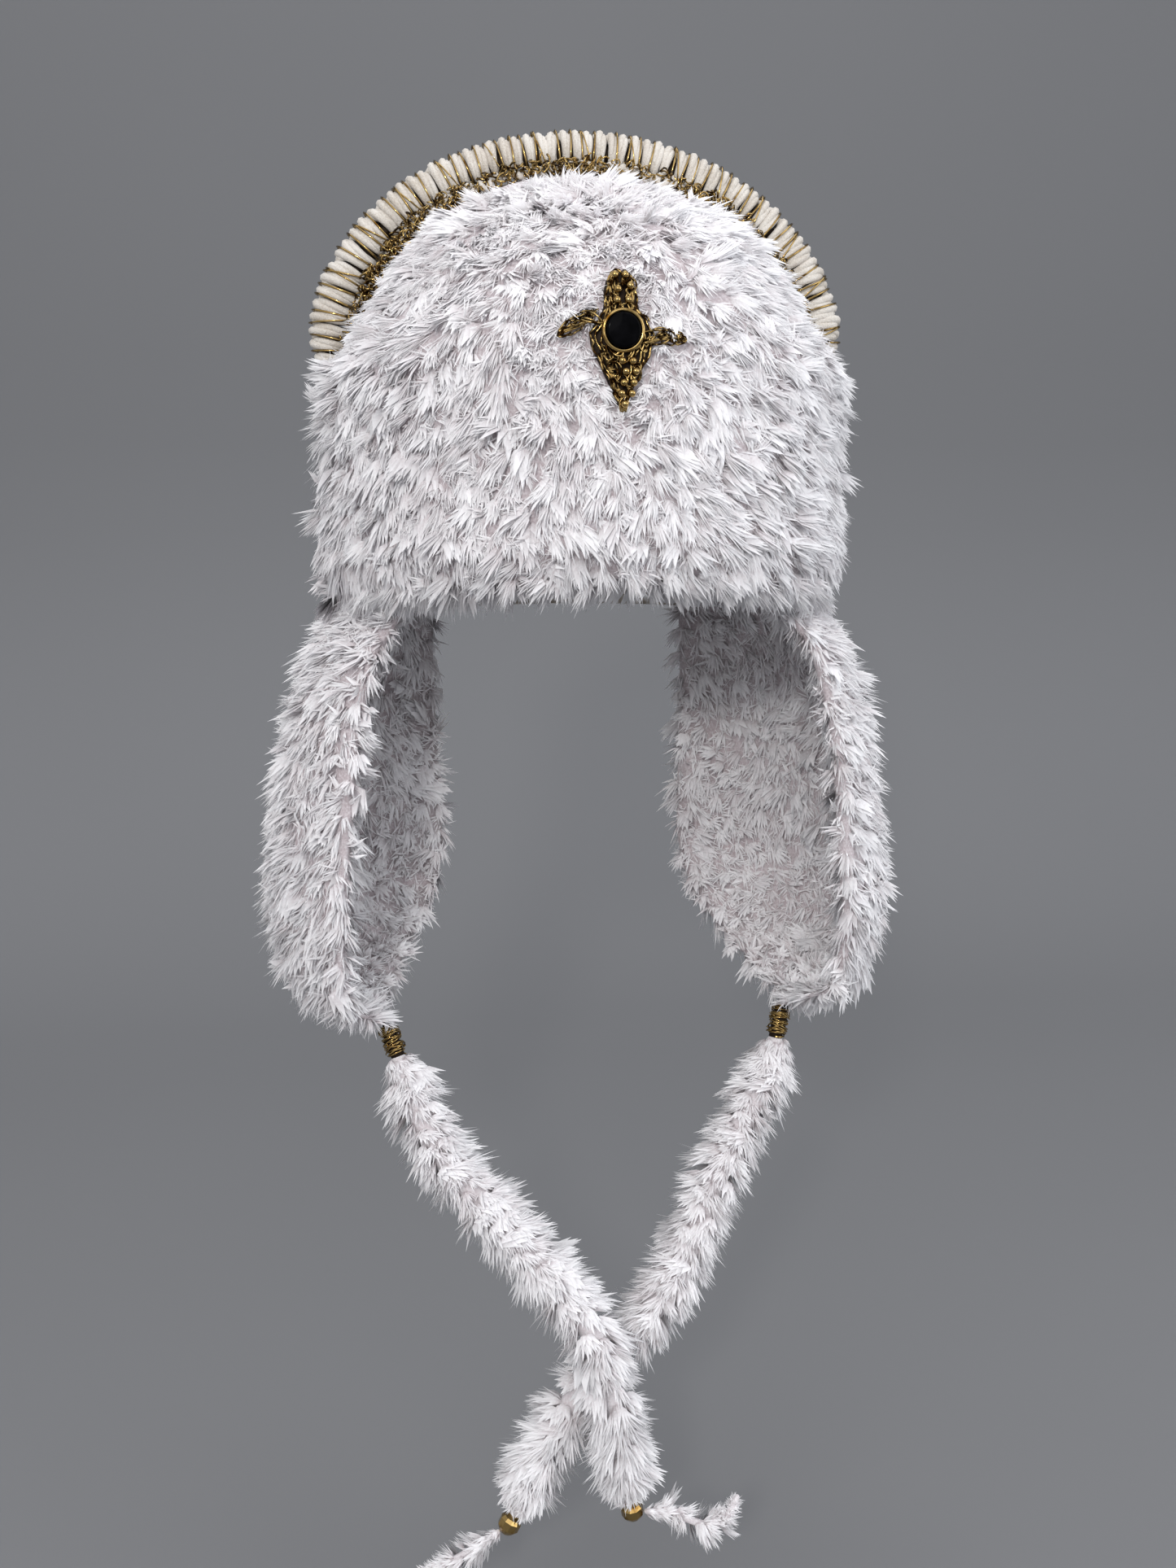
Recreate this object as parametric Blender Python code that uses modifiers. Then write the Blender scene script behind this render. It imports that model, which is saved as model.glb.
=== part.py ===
"""Earflap hat of fluffy white yarn, with a roll of wool ribs, gold thread and a small brooch.

Metres, +Z up. The front of the hat faces -Y and +X is to the right as seen from the front.
The origin is the top of the head, at the inside of the crown.
"""

import math
import random

import bmesh
import bpy
from mathutils import Vector

# Head hollow and crown
HEAD_HALF_WIDTH = 0.083
HEAD_HALF_LENGTH = 0.097
CROWN_RISE = 0.067
CROWN_WALL = 0.004
RIM_DROP_FRONT = 0.138
RIM_DROP_SIDE = 0.128
RIM_DROP_BACK = 0.170
NAPE_TUCK = 0.012
BROW_FALL = 0.09
SOFT_GAP = 0.0007
HARD_GAP = 0.0003

# Turned-up fur front
FRONT_DROP = 0.143
FRONT_SIDE_DROP = 0.011
FRONT_TOP_ANGLE = math.radians(2.5)
FRONT_PAD_TOP = 0.0105
FRONT_PAD_RIDGE = 0.0014
FRONT_SLOPE_START = 0.025
FRONT_SLOPE = 0.055
FRONT_SLOPE_ANGLE = math.radians(12)
FRONT_PAD_BOTTOM = 0.017
FRONT_PAD_CURVE = 0.7
FRONT_FOLD_SHARE = 0.06
FRONT_FOLD_ROUND = 0.35
FRONT_MARGIN = 0.006
FRONT_COLUMNS = 28
FRONT_ROWS = 12
RIDGE_FORWARD = 0.022
LOCK_HEIGHT = 0.008
LOCK_LEAN = 0.005
RIDGE_LOCK_SHARE = 0.3
FRINGE_HEIGHT = 0.006

# Roll of wool ribs and the gold chain at its foot
RIB_PITCH = 0.0044
RIB_REACH = 0.0085
RIB_DEPTH = 0.0060
RIB_GROOVE = 0.0011
RIDGE_SIDE_GROWTH = 0.25
RIDGE_SIDES = 6
RIDGE_FLAT_SHARE = math.cos(math.pi / RIDGE_SIDES)
RIDGE_SEAT_ANGLE = math.radians(45)
RIDGE_END_SHARE = 0.62
RIDGE_TAPER = 0.018
EDGING_THREAD = 0.0011
EDGING_SCALLOP = 0.0030
EDGING_PITCH = 0.0125
EDGING_END_ANGLE = math.radians(18)

# Ear flaps
FLAP_BOTTOM = 0.328
FLAP_FLARE = 0.0385
FLAP_WALL = 0.004
FLAP_FRONT_ANGLE = math.radians(56)
FLAP_BACK_ANGLE = math.radians(134)
FLAP_TIP_ANGLE = math.radians(70)
FLAP_TIE_SHARE = 0.2
FLAP_COLUMNS = 12
FLAP_ROWS = 12
FLAP_LOCK_HEIGHT = 0.007
NAPE_STEP_ANGLE = math.radians(5)

# Ties and what is on them
TIE_DIAMETER = 0.014
TIE_END_SHARE = 0.45
TIE_SPACING = 0.010
TAIL_DIAMETER = 0.004
TAIL_SPACING = 0.006
WRAP_LENGTH = 0.014
WRAP_SEAT = 0.0022
WRAP_RADIUS = 0.0040
WRAP_TURNS = 6
END_BEAD_RADIUS = 0.0045
END_BEAD_SIDES = 10

# Brooch
BROOCH_DROP = 0.0623
BROOCH_HEIGHT = 0.0485
BROOCH_HALF_WIDTH = 0.0112
BROOCH_THICKNESS = 0.0034
BROOCH_TOP_SHARE = 0.45
STONE_RADIUS = 0.0058
STONE_HEIGHT = 0.0026
BEZEL_WIRE = 0.0006
BEAD_RADIUS = 0.00135
LEAF_WIDTH = 0.0052
LEAF_THICKNESS = 0.0014
SHORT_STEP = 0.0005
BROOCH_STEPS = 16

# Shares of the free flap's drop, of its spread at the front and back edge, and of its flare
FLAP_SECTIONS = (
    # (down, front edge, back edge, front flare, middle flare, back flare)
    (0.000, 0.00, -0.03, 0.00, 0.00, 0.00),
    (0.085, 0.03, -0.06, 0.36, 0.40, 0.04),
    (0.190, 0.05, -0.05, 0.54, 0.60, 0.03),
    (0.350, 0.07, -0.02, 0.68, 0.78, -0.06),
    (0.550, 0.12, 0.00, 0.76, 0.91, -0.16),
    (0.720, 0.20, 0.03, 0.80, 0.98, -0.22),
    (0.850, 0.30, 0.15, 0.76, 0.90, -0.22),
    (0.930, 0.40, 0.33, 0.68, 0.78, -0.14),
    (0.975, 0.56, 0.52, 0.46, 0.50, -0.02),
    (1.000, 0.80, 0.74, 0.08, 0.10, 0.02),
)

# Shares of the brooch's height from its top, and of its half width
BROOCH_OUTLINE = (
    # (down, half width)
    (0.00, 0.14),
    (0.05, 0.36),
    (0.14, 0.50),
    (0.28, 0.52),
    (0.37, 0.78),
    (0.46, 1.00),
    (0.55, 0.94),
    (0.72, 0.60),
    (0.88, 0.28),
    (1.00, 0.08),
)

# Places of the round beads from the stone's centre, as shares of the brooch's half width and height
BEAD_PLACES = (
    # (right, up)
    (-0.170, 0.372),
    (0.120, 0.372),
    (0.240, 0.295),
    (-0.110, 0.270),
    (-0.150, 0.196),
    (0.170, 0.196),
    (-0.040, -0.196),
    (0.250, -0.196),
    (0.060, -0.266),
    (0.340, -0.266),
    (0.000, -0.340),
    (0.280, -0.340),
    (-0.060, -0.412),
    (0.230, -0.412),
    (0.030, -0.484),
)

# Ends of the two leaves from the stone's centre, as shares of the brooch's half width and height
LEAF_ENDS = {
    # inner right, inner up, outer right, outer up
    "left": (-0.76, 0.140, -1.83, -0.031),
    "right": (1.09, -0.016, 1.81, -0.054),
}

# Routes of the ties and of the tails. Each is moved as a whole so that its first point meets the
# gold wrap, or the bead, that it comes out of
TIE_ROUTES = {
    "left": (
        (-0.0760, -0.0370, -0.3420),
        (-0.0728, -0.0405, -0.3510),
        (-0.0635, -0.0530, -0.3720),
        (-0.0490, -0.0650, -0.3890),
        (-0.0330, -0.0760, -0.4040),
        (-0.0200, -0.0840, -0.4170),
        (-0.0090, -0.0900, -0.4300),
        (-0.0020, -0.0950, -0.4420),
        (0.0015, -0.0970, -0.4570),
        (0.0052, -0.0975, -0.4750),
        (0.0087, -0.0970, -0.4980),
        (0.0111, -0.0970, -0.5120),
    ),
    "right": (
        (0.0760, -0.0370, -0.3420),
        (0.0735, -0.0395, -0.3510),
        (0.0630, -0.0480, -0.3680),
        (0.0520, -0.0550, -0.3840),
        (0.0430, -0.0620, -0.3990),
        (0.0360, -0.0670, -0.4130),
        (0.0275, -0.0720, -0.4275),
        (0.0170, -0.0760, -0.4410),
        (0.0040, -0.0780, -0.4560),
        (-0.0110, -0.0805, -0.4700),
        (-0.0225, -0.0840, -0.4840),
        (-0.0315, -0.0865, -0.4990),
        (-0.0380, -0.0880, -0.5140),
        (-0.0412, -0.0885, -0.5200),
    ),
}
TAIL_ROUTES = {
    "left": (
        (0.0165, -0.0975, -0.5216),
        (0.0220, -0.0983, -0.5222),
        (0.0269, -0.0990, -0.5210),
        (0.0337, -0.1020, -0.5240),
        (0.0430, -0.1040, -0.5260),
        (0.0490, -0.1050, -0.5210),
        (0.0524, -0.1060, -0.5121),
    ),
    "right": (
        (-0.0475, -0.0891, -0.5288),
        (-0.0550, -0.0900, -0.5335),
        (-0.0640, -0.0905, -0.5380),
        (-0.0720, -0.0910, -0.5412),
        (-0.0815, -0.0920, -0.5427),
    ),
}

COLOURS = {
    # (red, green, blue, roughness, metallic)
    "fur": (0.86, 0.84, 0.86, 0.90, 0.0),
    "wool": (0.80, 0.74, 0.62, 0.85, 0.0),
    "gold_thread": (0.55, 0.36, 0.12, 0.35, 1.0),
    "gold": (0.72, 0.50, 0.20, 0.22, 1.0),
    "black_stone": (0.005, 0.005, 0.006, 0.08, 0.0),
}

SIDES = {"left": -1, "right": 1}


def clear_scene():
    for old in list(bpy.data.objects):
        bpy.data.objects.remove(old, do_unlink=True)


def make_materials():
    materials = {}
    for name, (red, green, blue, roughness, metallic) in COLOURS.items():
        material = bpy.data.materials.new(name)
        material.use_nodes = True
        shader = material.node_tree.nodes["Principled BSDF"]
        shader.inputs["Base Color"].default_value = (red, green, blue, 1.0)
        shader.inputs["Roughness"].default_value = roughness
        shader.inputs["Metallic"].default_value = metallic
        material.diffuse_color = (red, green, blue, 1.0)
        materials[name] = material
    return materials


def mix(start, end, share):
    return start + (end - start) * share


def read_table(rows, place, column):
    """The value of a column at a place along the first column, on a smooth curve through the rows."""
    last = len(rows) - 1
    k = 0
    while k < last - 1 and place > rows[k + 1][0]:
        k += 1
    span = rows[k + 1][0] - rows[k][0]
    share = (place - rows[k][0]) / span

    def slope(i):
        before = rows[max(i - 1, 0)]
        after = rows[min(i + 1, last)]
        return (after[column] - before[column]) / (after[0] - before[0]) * span

    start = rows[k][column]
    end = rows[k + 1][column]
    square = share * share
    cube = square * share
    return (
        (2 * cube - 3 * square + 1) * start
        + (cube - 2 * square + share) * slope(k)
        + (3 * square - 2 * cube) * end
        + (cube - square) * slope(k + 1)
    )


def smooth_route(points, spacing):
    """Points about one spacing apart on a smooth curve through the route's own points."""
    points = [Vector(point) for point in points]
    ends = [2 * points[0] - points[1], *points, 2 * points[-1] - points[-2]]
    route = []
    for before, start, end, after in zip(ends, ends[1:], ends[2:], ends[3:]):
        steps = max(1, round((end - start).length / spacing))
        for step in range(steps):
            share = step / steps
            bend = (
                (2 * start)
                + (end - before) * share
                + (2 * before - 5 * start + 4 * end - after) * share**2
                + (3 * start - before - 3 * end + after) * share**3
            )
            route.append(bend / 2)
    route.append(points[-1])
    return route


def wall_point(azimuth, travel, offset):
    """A point of the crown's wall, grown outwards by offset.

    azimuth turns from the front towards +X. travel is the way up the wall from its widest level, and
    below that level it is the drop, as a negative number.
    """
    lift = max(travel, 0.0) / CROWN_RISE
    reach = math.cos(lift)
    fall = 1 - BROW_FALL * max(math.cos(azimuth), 0.0) * reach
    below = max(-travel, 0.0) / (RIM_DROP_BACK - CROWN_RISE)
    tuck = NAPE_TUCK * min(below, 1.0) ** 1.5 * max(-math.cos(azimuth), 0.0)
    return Vector(
        (
            (HEAD_HALF_WIDTH + offset) * math.sin(azimuth) * reach,
            -(HEAD_HALF_LENGTH + offset - tuck) * math.cos(azimuth) * reach,
            (CROWN_RISE + offset) * math.sin(lift) * fall - CROWN_RISE + min(travel, 0.0),
        )
    )


def travel_at_drop(drop):
    """The travel of the level that lies this far below the inside top, below the widest level."""
    return CROWN_RISE - drop


def add_object(name, mesh, material, collection):
    made = bpy.data.objects.new(name, mesh)
    mesh.materials.append(material)
    collection.objects.link(made)
    return made


def mesh_from(bm, name):
    bmesh.ops.recalc_face_normals(bm, faces=bm.faces)
    mesh = bpy.data.meshes.new(name)
    bm.to_mesh(mesh)
    bm.free()
    return mesh


def shell_between(outer, inner):
    """A closed shell between two grids of points of one size.

    Returns the bmesh, its outer faces and inner faces as rows of faces, and the faces of its four
    edges by name.
    """
    bm = bmesh.new()
    skin = [[bm.verts.new(point) for point in row] for row in outer]
    lining = [[bm.verts.new(point) for point in row] for row in inner]
    rows = range(len(outer) - 1)
    columns = range(len(outer[0]) - 1)

    def patch(grid, j, i):
        return bm.faces.new((grid[j][i], grid[j][i + 1], grid[j + 1][i + 1], grid[j + 1][i]))

    def strip(first, second):
        pairs = zip(first, first[1:], second[1:], second)
        return [bm.faces.new(corners) for corners in pairs]

    outer_faces = [[patch(skin, j, i) for i in columns] for j in rows]
    inner_faces = [[patch(lining, j, i) for i in columns] for j in rows]
    edges = {
        "first_row": strip(skin[0], lining[0]),
        "last_row": strip(skin[-1], lining[-1]),
        "first_column": strip([row[0] for row in skin], [row[0] for row in lining]),
        "last_column": strip([row[-1] for row in skin], [row[-1] for row in lining]),
    }
    bmesh.ops.recalc_face_normals(bm, faces=bm.faces)
    return bm, outer_faces, inner_faces, edges


def raise_locks(bm, faces, height, lean, dice, share_at=None):
    """Raises a leaning lock of fur on each face: a blunt spike whose tip droops by lean."""
    normals = {face.calc_center_median().freeze(): face.normal.copy() for face in faces}
    tips = bmesh.ops.poke(bm, faces=faces, center_mode="MEAN")["verts"]
    for tip in tips:
        nearest = min(normals, key=lambda centre: (centre - tip.co).length)
        share = share_at(tip.co) if share_at else 1.0
        across = normals[nearest].cross(Vector((0, 0, 1)))
        tip.co += normals[nearest] * height * share * dice.uniform(0.75, 1.2)
        tip.co += across * lean * share * dice.uniform(-0.4, 0.4)
        tip.co.z -= lean * share * dice.uniform(0.7, 1.2)


def rim_drop(azimuth):
    """The drop of the crown's rim: level over the ear flaps, lower at the front and at the nape."""
    turned = abs(azimuth)
    if turned > FLAP_BACK_ANGLE + NAPE_STEP_ANGLE / 2:
        return RIM_DROP_BACK
    if turned >= FLAP_FRONT_ANGLE:
        return RIM_DROP_SIDE
    return mix(RIM_DROP_FRONT, RIM_DROP_SIDE, math.sin(math.pi / 2 * turned / FLAP_FRONT_ANGLE) ** 4)


def crown_columns():
    """Azimuths of the crown's columns, with a pair on each side where the rim steps to the nape."""
    step = math.radians(10)
    nape = FLAP_BACK_ANGLE + NAPE_STEP_ANGLE
    half = [k * step for k in range(int(FLAP_BACK_ANGLE / step) + 1)]
    half += [FLAP_BACK_ANGLE + HARD_GAP / HEAD_HALF_WIDTH, nape]
    last = math.ceil((math.pi - nape) / step)
    half += [mix(nape, math.pi, k / last) for k in range(1, last + 1)]
    return half + [-azimuth for azimuth in reversed(half[1:-1])]


def make_crown(collection, material):
    dome_rows = 7
    skirt_rows = 3
    columns = crown_columns()
    bm = bmesh.new()
    top = bm.verts.new(wall_point(0, CROWN_RISE * math.pi / 2, 0))
    rings = []
    for row in range(1, dome_rows + skirt_rows + 1):
        ring = []
        for azimuth in columns:
            if row <= dome_rows:
                travel = CROWN_RISE * math.pi / 2 * (1 - row / dome_rows)
            else:
                travel = travel_at_drop(rim_drop(azimuth)) * (row - dome_rows) / skirt_rows
            ring.append(bm.verts.new(wall_point(azimuth, travel, 0)))
        rings.append(ring)
    around = range(len(columns))
    for i in around:
        bm.faces.new((top, rings[0][i], rings[0][i - 1]))
    for upper, lower in zip(rings, rings[1:]):
        for i in around:
            bm.faces.new((upper[i - 1], upper[i], lower[i], lower[i - 1]))
    crown = add_object("crown", mesh_from(bm, "crown"), material, collection)
    wall = crown.modifiers.new("wall", "SOLIDIFY")
    wall.thickness = CROWN_WALL
    wall.offset = 1
    wall.use_even_offset = True
    crown.data.shade_smooth()
    return crown


def ridge_spread(travel, offset):
    """The azimuth at which a level of the wall meets the ridge's upright plane."""
    lift = max(travel, 0.0) / CROWN_RISE
    return math.acos(min(RIDGE_FORWARD / ((HEAD_HALF_LENGTH + offset) * math.cos(lift)), 1.0))


def front_bottom(azimuth):
    return travel_at_drop(FRONT_DROP + FRONT_SIDE_DROP * math.sin(azimuth) ** 2)


def front_top():
    """The travel of the fur front's level top edge, a little below the top of the ridge's arc."""
    return CROWN_RISE * (math.acos(RIDGE_FORWARD / HEAD_HALF_LENGTH) - FRONT_TOP_ANGLE)


def near_ridge(ahead, lift):
    """1 at the foot of the ridge, falling to 0 at the end of the slope in front of it."""
    away = min(max((ahead - FRONT_SLOPE_START) / FRONT_SLOPE, 0.0), 1.0)
    closeness = 1 - away**2 * (3 - 2 * away)
    return closeness * min(max(lift / FRONT_SLOPE_ANGLE, 0.0), 1.0)


def front_pad(azimuth, travel):
    """The offset of the fur front's outer face: thick where it is folded up, thin at the ridge."""
    bottom = front_bottom(azimuth)
    up = min(max((travel - bottom) / (front_top() - bottom), 0.0), 1.0)
    round_off = 1 - FRONT_FOLD_ROUND * max(0.0, 1 - up / FRONT_FOLD_SHARE) ** 2
    pad = mix(FRONT_PAD_BOTTOM, FRONT_PAD_TOP, up**FRONT_PAD_CURVE) * round_off
    lift = max(travel, 0.0) / CROWN_RISE
    ahead = HEAD_HALF_LENGTH * math.cos(azimuth) * math.cos(lift) - RIDGE_FORWARD
    pad = mix(pad, FRONT_PAD_RIDGE, near_ridge(ahead, lift))
    return CROWN_WALL + SOFT_GAP + pad


def front_point(azimuth, travel, above):
    """A point this far above the fur front's outer face."""
    return wall_point(azimuth, travel, front_pad(azimuth, travel) + above)


def front_row(up, outside):
    """One row of points across the fur front, with a bare margin at each end and at the top."""
    edge_travel = mix(front_bottom(math.pi / 2), front_top(), up)
    offset = front_pad(math.pi / 2, edge_travel) if outside else CROWN_WALL + SOFT_GAP
    spread = ridge_spread(edge_travel, offset)
    radius = HEAD_HALF_LENGTH * math.cos(max(edge_travel, 0.0) / CROWN_RISE)
    margin = min(FRONT_MARGIN / radius, spread / 3)
    inner_columns = FRONT_COLUMNS - 2
    azimuths = [(spread - margin) * (2 * i / inner_columns - 1) for i in range(inner_columns + 1)]
    points = []
    for azimuth in [-spread, *azimuths, spread]:
        travel = mix(front_bottom(azimuth), front_top(), up)
        if outside:
            points.append(front_point(azimuth, travel, 0))
        else:
            points.append(wall_point(azimuth, travel, CROWN_WALL + SOFT_GAP))
    return points


def leaf_ends(side):
    """The inner and the outer end of a leaf: right and up from the stone's centre."""
    inner_right, inner_up, outer_right, outer_up = LEAF_ENDS[side]
    inner = Vector((BROOCH_HALF_WIDTH * inner_right, BROOCH_HEIGHT * inner_up))
    outer = Vector((BROOCH_HALF_WIDTH * outer_right, BROOCH_HEIGHT * outer_up))
    return inner, outer


def under_brooch(point):
    """True where the brooch or a leaf lies, so that the fur is parted there."""
    up = point.z + BROOCH_DROP
    above_stone = BROOCH_HEIGHT * BROOCH_TOP_SHARE
    below_stone = BROOCH_HEIGHT - above_stone
    if abs(point.x) < BROOCH_HALF_WIDTH and -below_stone - LOCK_HEIGHT < up < above_stone + LOCK_HEIGHT:
        return True
    reach = LEAF_WIDTH / 2 + LOCK_LEAN
    for side in SIDES:
        inner, outer = leaf_ends(side)
        across = min(inner.x, outer.x) - reach < point.x < max(inner.x, outer.x) + reach
        level = min(inner.y, outer.y) - reach < up < max(inner.y, outer.y) + reach + LOCK_LEAN
        if across and level:
            return True
    return False


def lock_share(point):
    """The share of the full lock height at a point of the fur front: short locks near the ridge."""
    lift = (point.z + CROWN_RISE) / (CROWN_RISE + FRONT_PAD_TOP)
    return mix(1.0, RIDGE_LOCK_SHARE, near_ridge(-point.y - RIDGE_FORWARD, lift))


def make_front_flap(collection, material):
    dice = random.Random(7)
    margin = FRONT_MARGIN / (front_top() - front_bottom(0))
    ups = [(1 - margin) * row / FRONT_ROWS for row in range(FRONT_ROWS + 1)] + [1.0]
    outer = [front_row(up, True) for up in ups]
    inner = [front_row(up, False) for up in ups]
    bm, outer_faces, _, edges = shell_between(outer, inner)
    furred = [face for row in outer_faces[:-1] for face in row[1:-1]]
    for row in outer_faces:
        if row[0].calc_center_median().z < -CROWN_RISE:
            furred += [row[0], row[-1]]
    furred = [face for face in furred if not under_brooch(face.calc_center_median())]
    raise_locks(bm, furred, LOCK_HEIGHT, LOCK_LEAN, dice, lock_share)
    raise_locks(bm, edges["first_row"], FRINGE_HEIGHT, 0, dice)
    return add_object("front_flap", mesh_from(bm, "front_flap"), material, collection)


def curve_object(name, points, radii, depth, sides, material, collection):
    """A tube with filled caps through the points, with a share of its depth at each."""
    curve = bpy.data.curves.new(name, "CURVE")
    curve.dimensions = "3D"
    curve.bevel_depth = depth
    curve.bevel_resolution = (sides - 4) // 2
    curve.use_fill_caps = True
    spline = curve.splines.new("POLY")
    spline.points.add(len(points) - 1)
    for spot, point, share in zip(spline.points, points, radii):
        spot.co = (*point, 1)
        spot.radius = share
    tube = bpy.data.objects.new(name, curve)
    curve.materials.append(material)
    collection.objects.link(tube)
    return tube


def ridge_growth(angle):
    """The roll's own size there: 1 at the top, more at its sides."""
    return 1 + RIDGE_SIDE_GROWTH * math.cos(angle) ** 2


def ridge_centre(angle):
    """A point of the roll's centre line, from the +X end over the top to the -X end."""
    offset = CROWN_WALL + SOFT_GAP + RIB_REACH * ridge_growth(angle) * RIDGE_FLAT_SHARE
    plane = -(RIDGE_FORWARD - RIB_DEPTH * ridge_growth(RIDGE_SEAT_ANGLE) - SOFT_GAP)
    narrowed = math.sqrt(1 - (plane / (HEAD_HALF_LENGTH + offset)) ** 2)
    across = (HEAD_HALF_WIDTH + offset) * narrowed
    up = (CROWN_RISE + offset) * narrowed
    return Vector((across * math.cos(angle), plane, up * math.sin(angle) - CROWN_RISE))


def make_trim_ridge(collection, material):
    angles = [math.pi * k / 400 for k in range(401)]
    fine = [ridge_centre(angle) for angle in angles]
    length = sum((b - a).length for a, b in zip(fine, fine[1:]))
    ribs = round(length / RIB_PITCH)
    points = []
    shares = []
    travelled = 0.0
    target = 0.0
    place = 0
    for a, b, angle in zip(fine, fine[1:], angles):
        step = (b - a).length
        while place <= 2 * ribs and travelled + step >= target - 1e-9:
            points.append(a.lerp(b, (target - travelled) / step))
            from_end = min(target, length - target) / RIDGE_TAPER
            taper = mix(RIDGE_END_SHARE, 1.0, math.sin(math.pi / 2 * min(from_end, 1.0)))
            groove = 0 if place % 2 else RIB_GROOVE / RIB_REACH
            shares.append(taper * ridge_growth(angle) * (1 - groove))
            place += 1
            target = length * place / (2 * ribs)
        travelled += step
    plane = points[0].y
    flat = [Vector((point.x, 0, point.z)) for point in points]
    ridge = curve_object("trim_ridge", flat, shares, RIB_REACH, RIDGE_SIDES, material, collection)
    ridge.location.y = plane
    ridge.scale.y = RIB_DEPTH / RIB_REACH
    return ridge


def make_gold_edging(collection, material):
    """A scalloped chain on the bare margin at the top of the fur front."""
    length = math.pi * (HEAD_HALF_WIDTH + CROWN_RISE) / 2
    scallops = round(length / EDGING_PITCH)
    first = EDGING_END_ANGLE
    steps = 3 * scallops
    points = []
    for k in range(steps + 1):
        angle = mix(first, math.pi - first, k / steps)
        wave = 0.5 - 0.5 * math.cos(2 * math.pi * k / 3)
        forward = RIDGE_FORWARD + 2 * EDGING_THREAD + EDGING_SCALLOP * wave
        ahead = forward / (HEAD_HALF_LENGTH + CROWN_WALL + SOFT_GAP + FRONT_PAD_RIDGE)
        narrowed = math.sqrt(1 - ahead**2)
        travel = CROWN_RISE * math.asin(narrowed * math.sin(angle))
        azimuth = math.atan2(narrowed * math.cos(angle), ahead)
        points.append(front_point(azimuth, min(travel, front_top()), EDGING_THREAD + SOFT_GAP))
    return curve_object("gold_edging", points, [1] * len(points), EDGING_THREAD, 6, material, collection)


def brooch_travel(up):
    """The travel of the level that lies this far up the fur front's face from the stone's centre."""
    travel = travel_at_drop(BROOCH_DROP)
    for _ in range(BROOCH_STEPS):
        risen = (front_point(0, travel + SHORT_STEP, 0) - front_point(0, travel, 0)).length
        travel += up / BROOCH_STEPS * SHORT_STEP / risen
    return travel


def brooch_point(right, up, above):
    """A point of the brooch: right and up from the stone's centre along the fur front, and above it."""
    travel = brooch_travel(up)
    turn = SHORT_STEP / HEAD_HALF_LENGTH
    moved = (front_point(turn, travel, 0) - front_point(0, travel, 0)).length
    return front_point(turn * right / moved, travel, above)


def make_brooch_plate(collection, material):
    columns = (-1.0, -0.62, 0.0, 0.62, 1.0)
    outer = []
    inner = []
    rows = 3 * (len(BROOCH_OUTLINE) - 1) // 2
    for row in range(rows + 1):
        down = row / rows
        width = BROOCH_HALF_WIDTH * read_table(BROOCH_OUTLINE, down, 1)
        up = BROOCH_HEIGHT * (BROOCH_TOP_SHARE - down)
        top = SOFT_GAP + BROOCH_THICKNESS
        outer.append(
            [brooch_point(width * side, up, top - 0.35 * BROOCH_THICKNESS * side**4) for side in columns]
        )
        inner.append([brooch_point(width * side, up, SOFT_GAP) for side in columns])
    bm = shell_between(outer, inner)[0]
    return add_object("brooch_plate", mesh_from(bm, "brooch_plate"), material, collection)


def make_leaf(side, collection, material):
    """A pointed leaf of gold thread, from the edge of the plate out over the fur."""
    start, end = leaf_ends(side)
    along = end - start
    across = Vector((-along.y, along.x)).normalized() * LEAF_WIDTH / 2
    rows = 6
    outer = []
    inner = []
    for row in range(rows + 1):
        share = row / rows
        half = max(math.sin(math.pi * share**0.8) ** 0.7, 0.16)
        middle = start + along * share
        low = BROOCH_THICKNESS * mix(0.4, 1.2, share)
        spots = [middle - across * half, middle, middle + across * half]
        rise = (0.4, 1.0, 0.4)
        outer.append(
            [brooch_point(spot.x, spot.y, low + LEAF_THICKNESS * up) for spot, up in zip(spots, rise)]
        )
        inner.append([brooch_point(spot.x, spot.y, low) for spot in spots])
    bm = shell_between(outer, inner)[0]
    name = "brooch_leaf_" + side
    return add_object(name, mesh_from(bm, name), material, collection)


def stand_on_brooch(made, right, up, above):
    """Puts an object on the plate with its own Z along the way out of the fur front."""
    here = brooch_point(right, up, SOFT_GAP + BROOCH_THICKNESS + HARD_GAP + above)
    out = (brooch_point(right, up, 0.01) - brooch_point(right, up, 0)).normalized()
    made.location = here
    made.rotation_mode = "QUATERNION"
    made.rotation_quaternion = out.to_track_quat("Z", "Y")


def turned(name, profile, steps, material, collection):
    """A turned solid from a profile that runs down its outer side from the axis to the axis."""
    mesh = bpy.data.meshes.new(name)
    edges = [(k, k + 1) for k in range(len(profile) - 1)]
    mesh.from_pydata([(radius, 0, height) for radius, height in profile], edges, [])
    made = add_object(name, mesh, material, collection)
    screw = made.modifiers.new("turn", "SCREW")
    screw.steps = steps
    screw.render_steps = steps
    screw.use_merge_vertices = True
    screw.merge_threshold = 0.00001
    screw.use_smooth_shade = True
    return made


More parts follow.
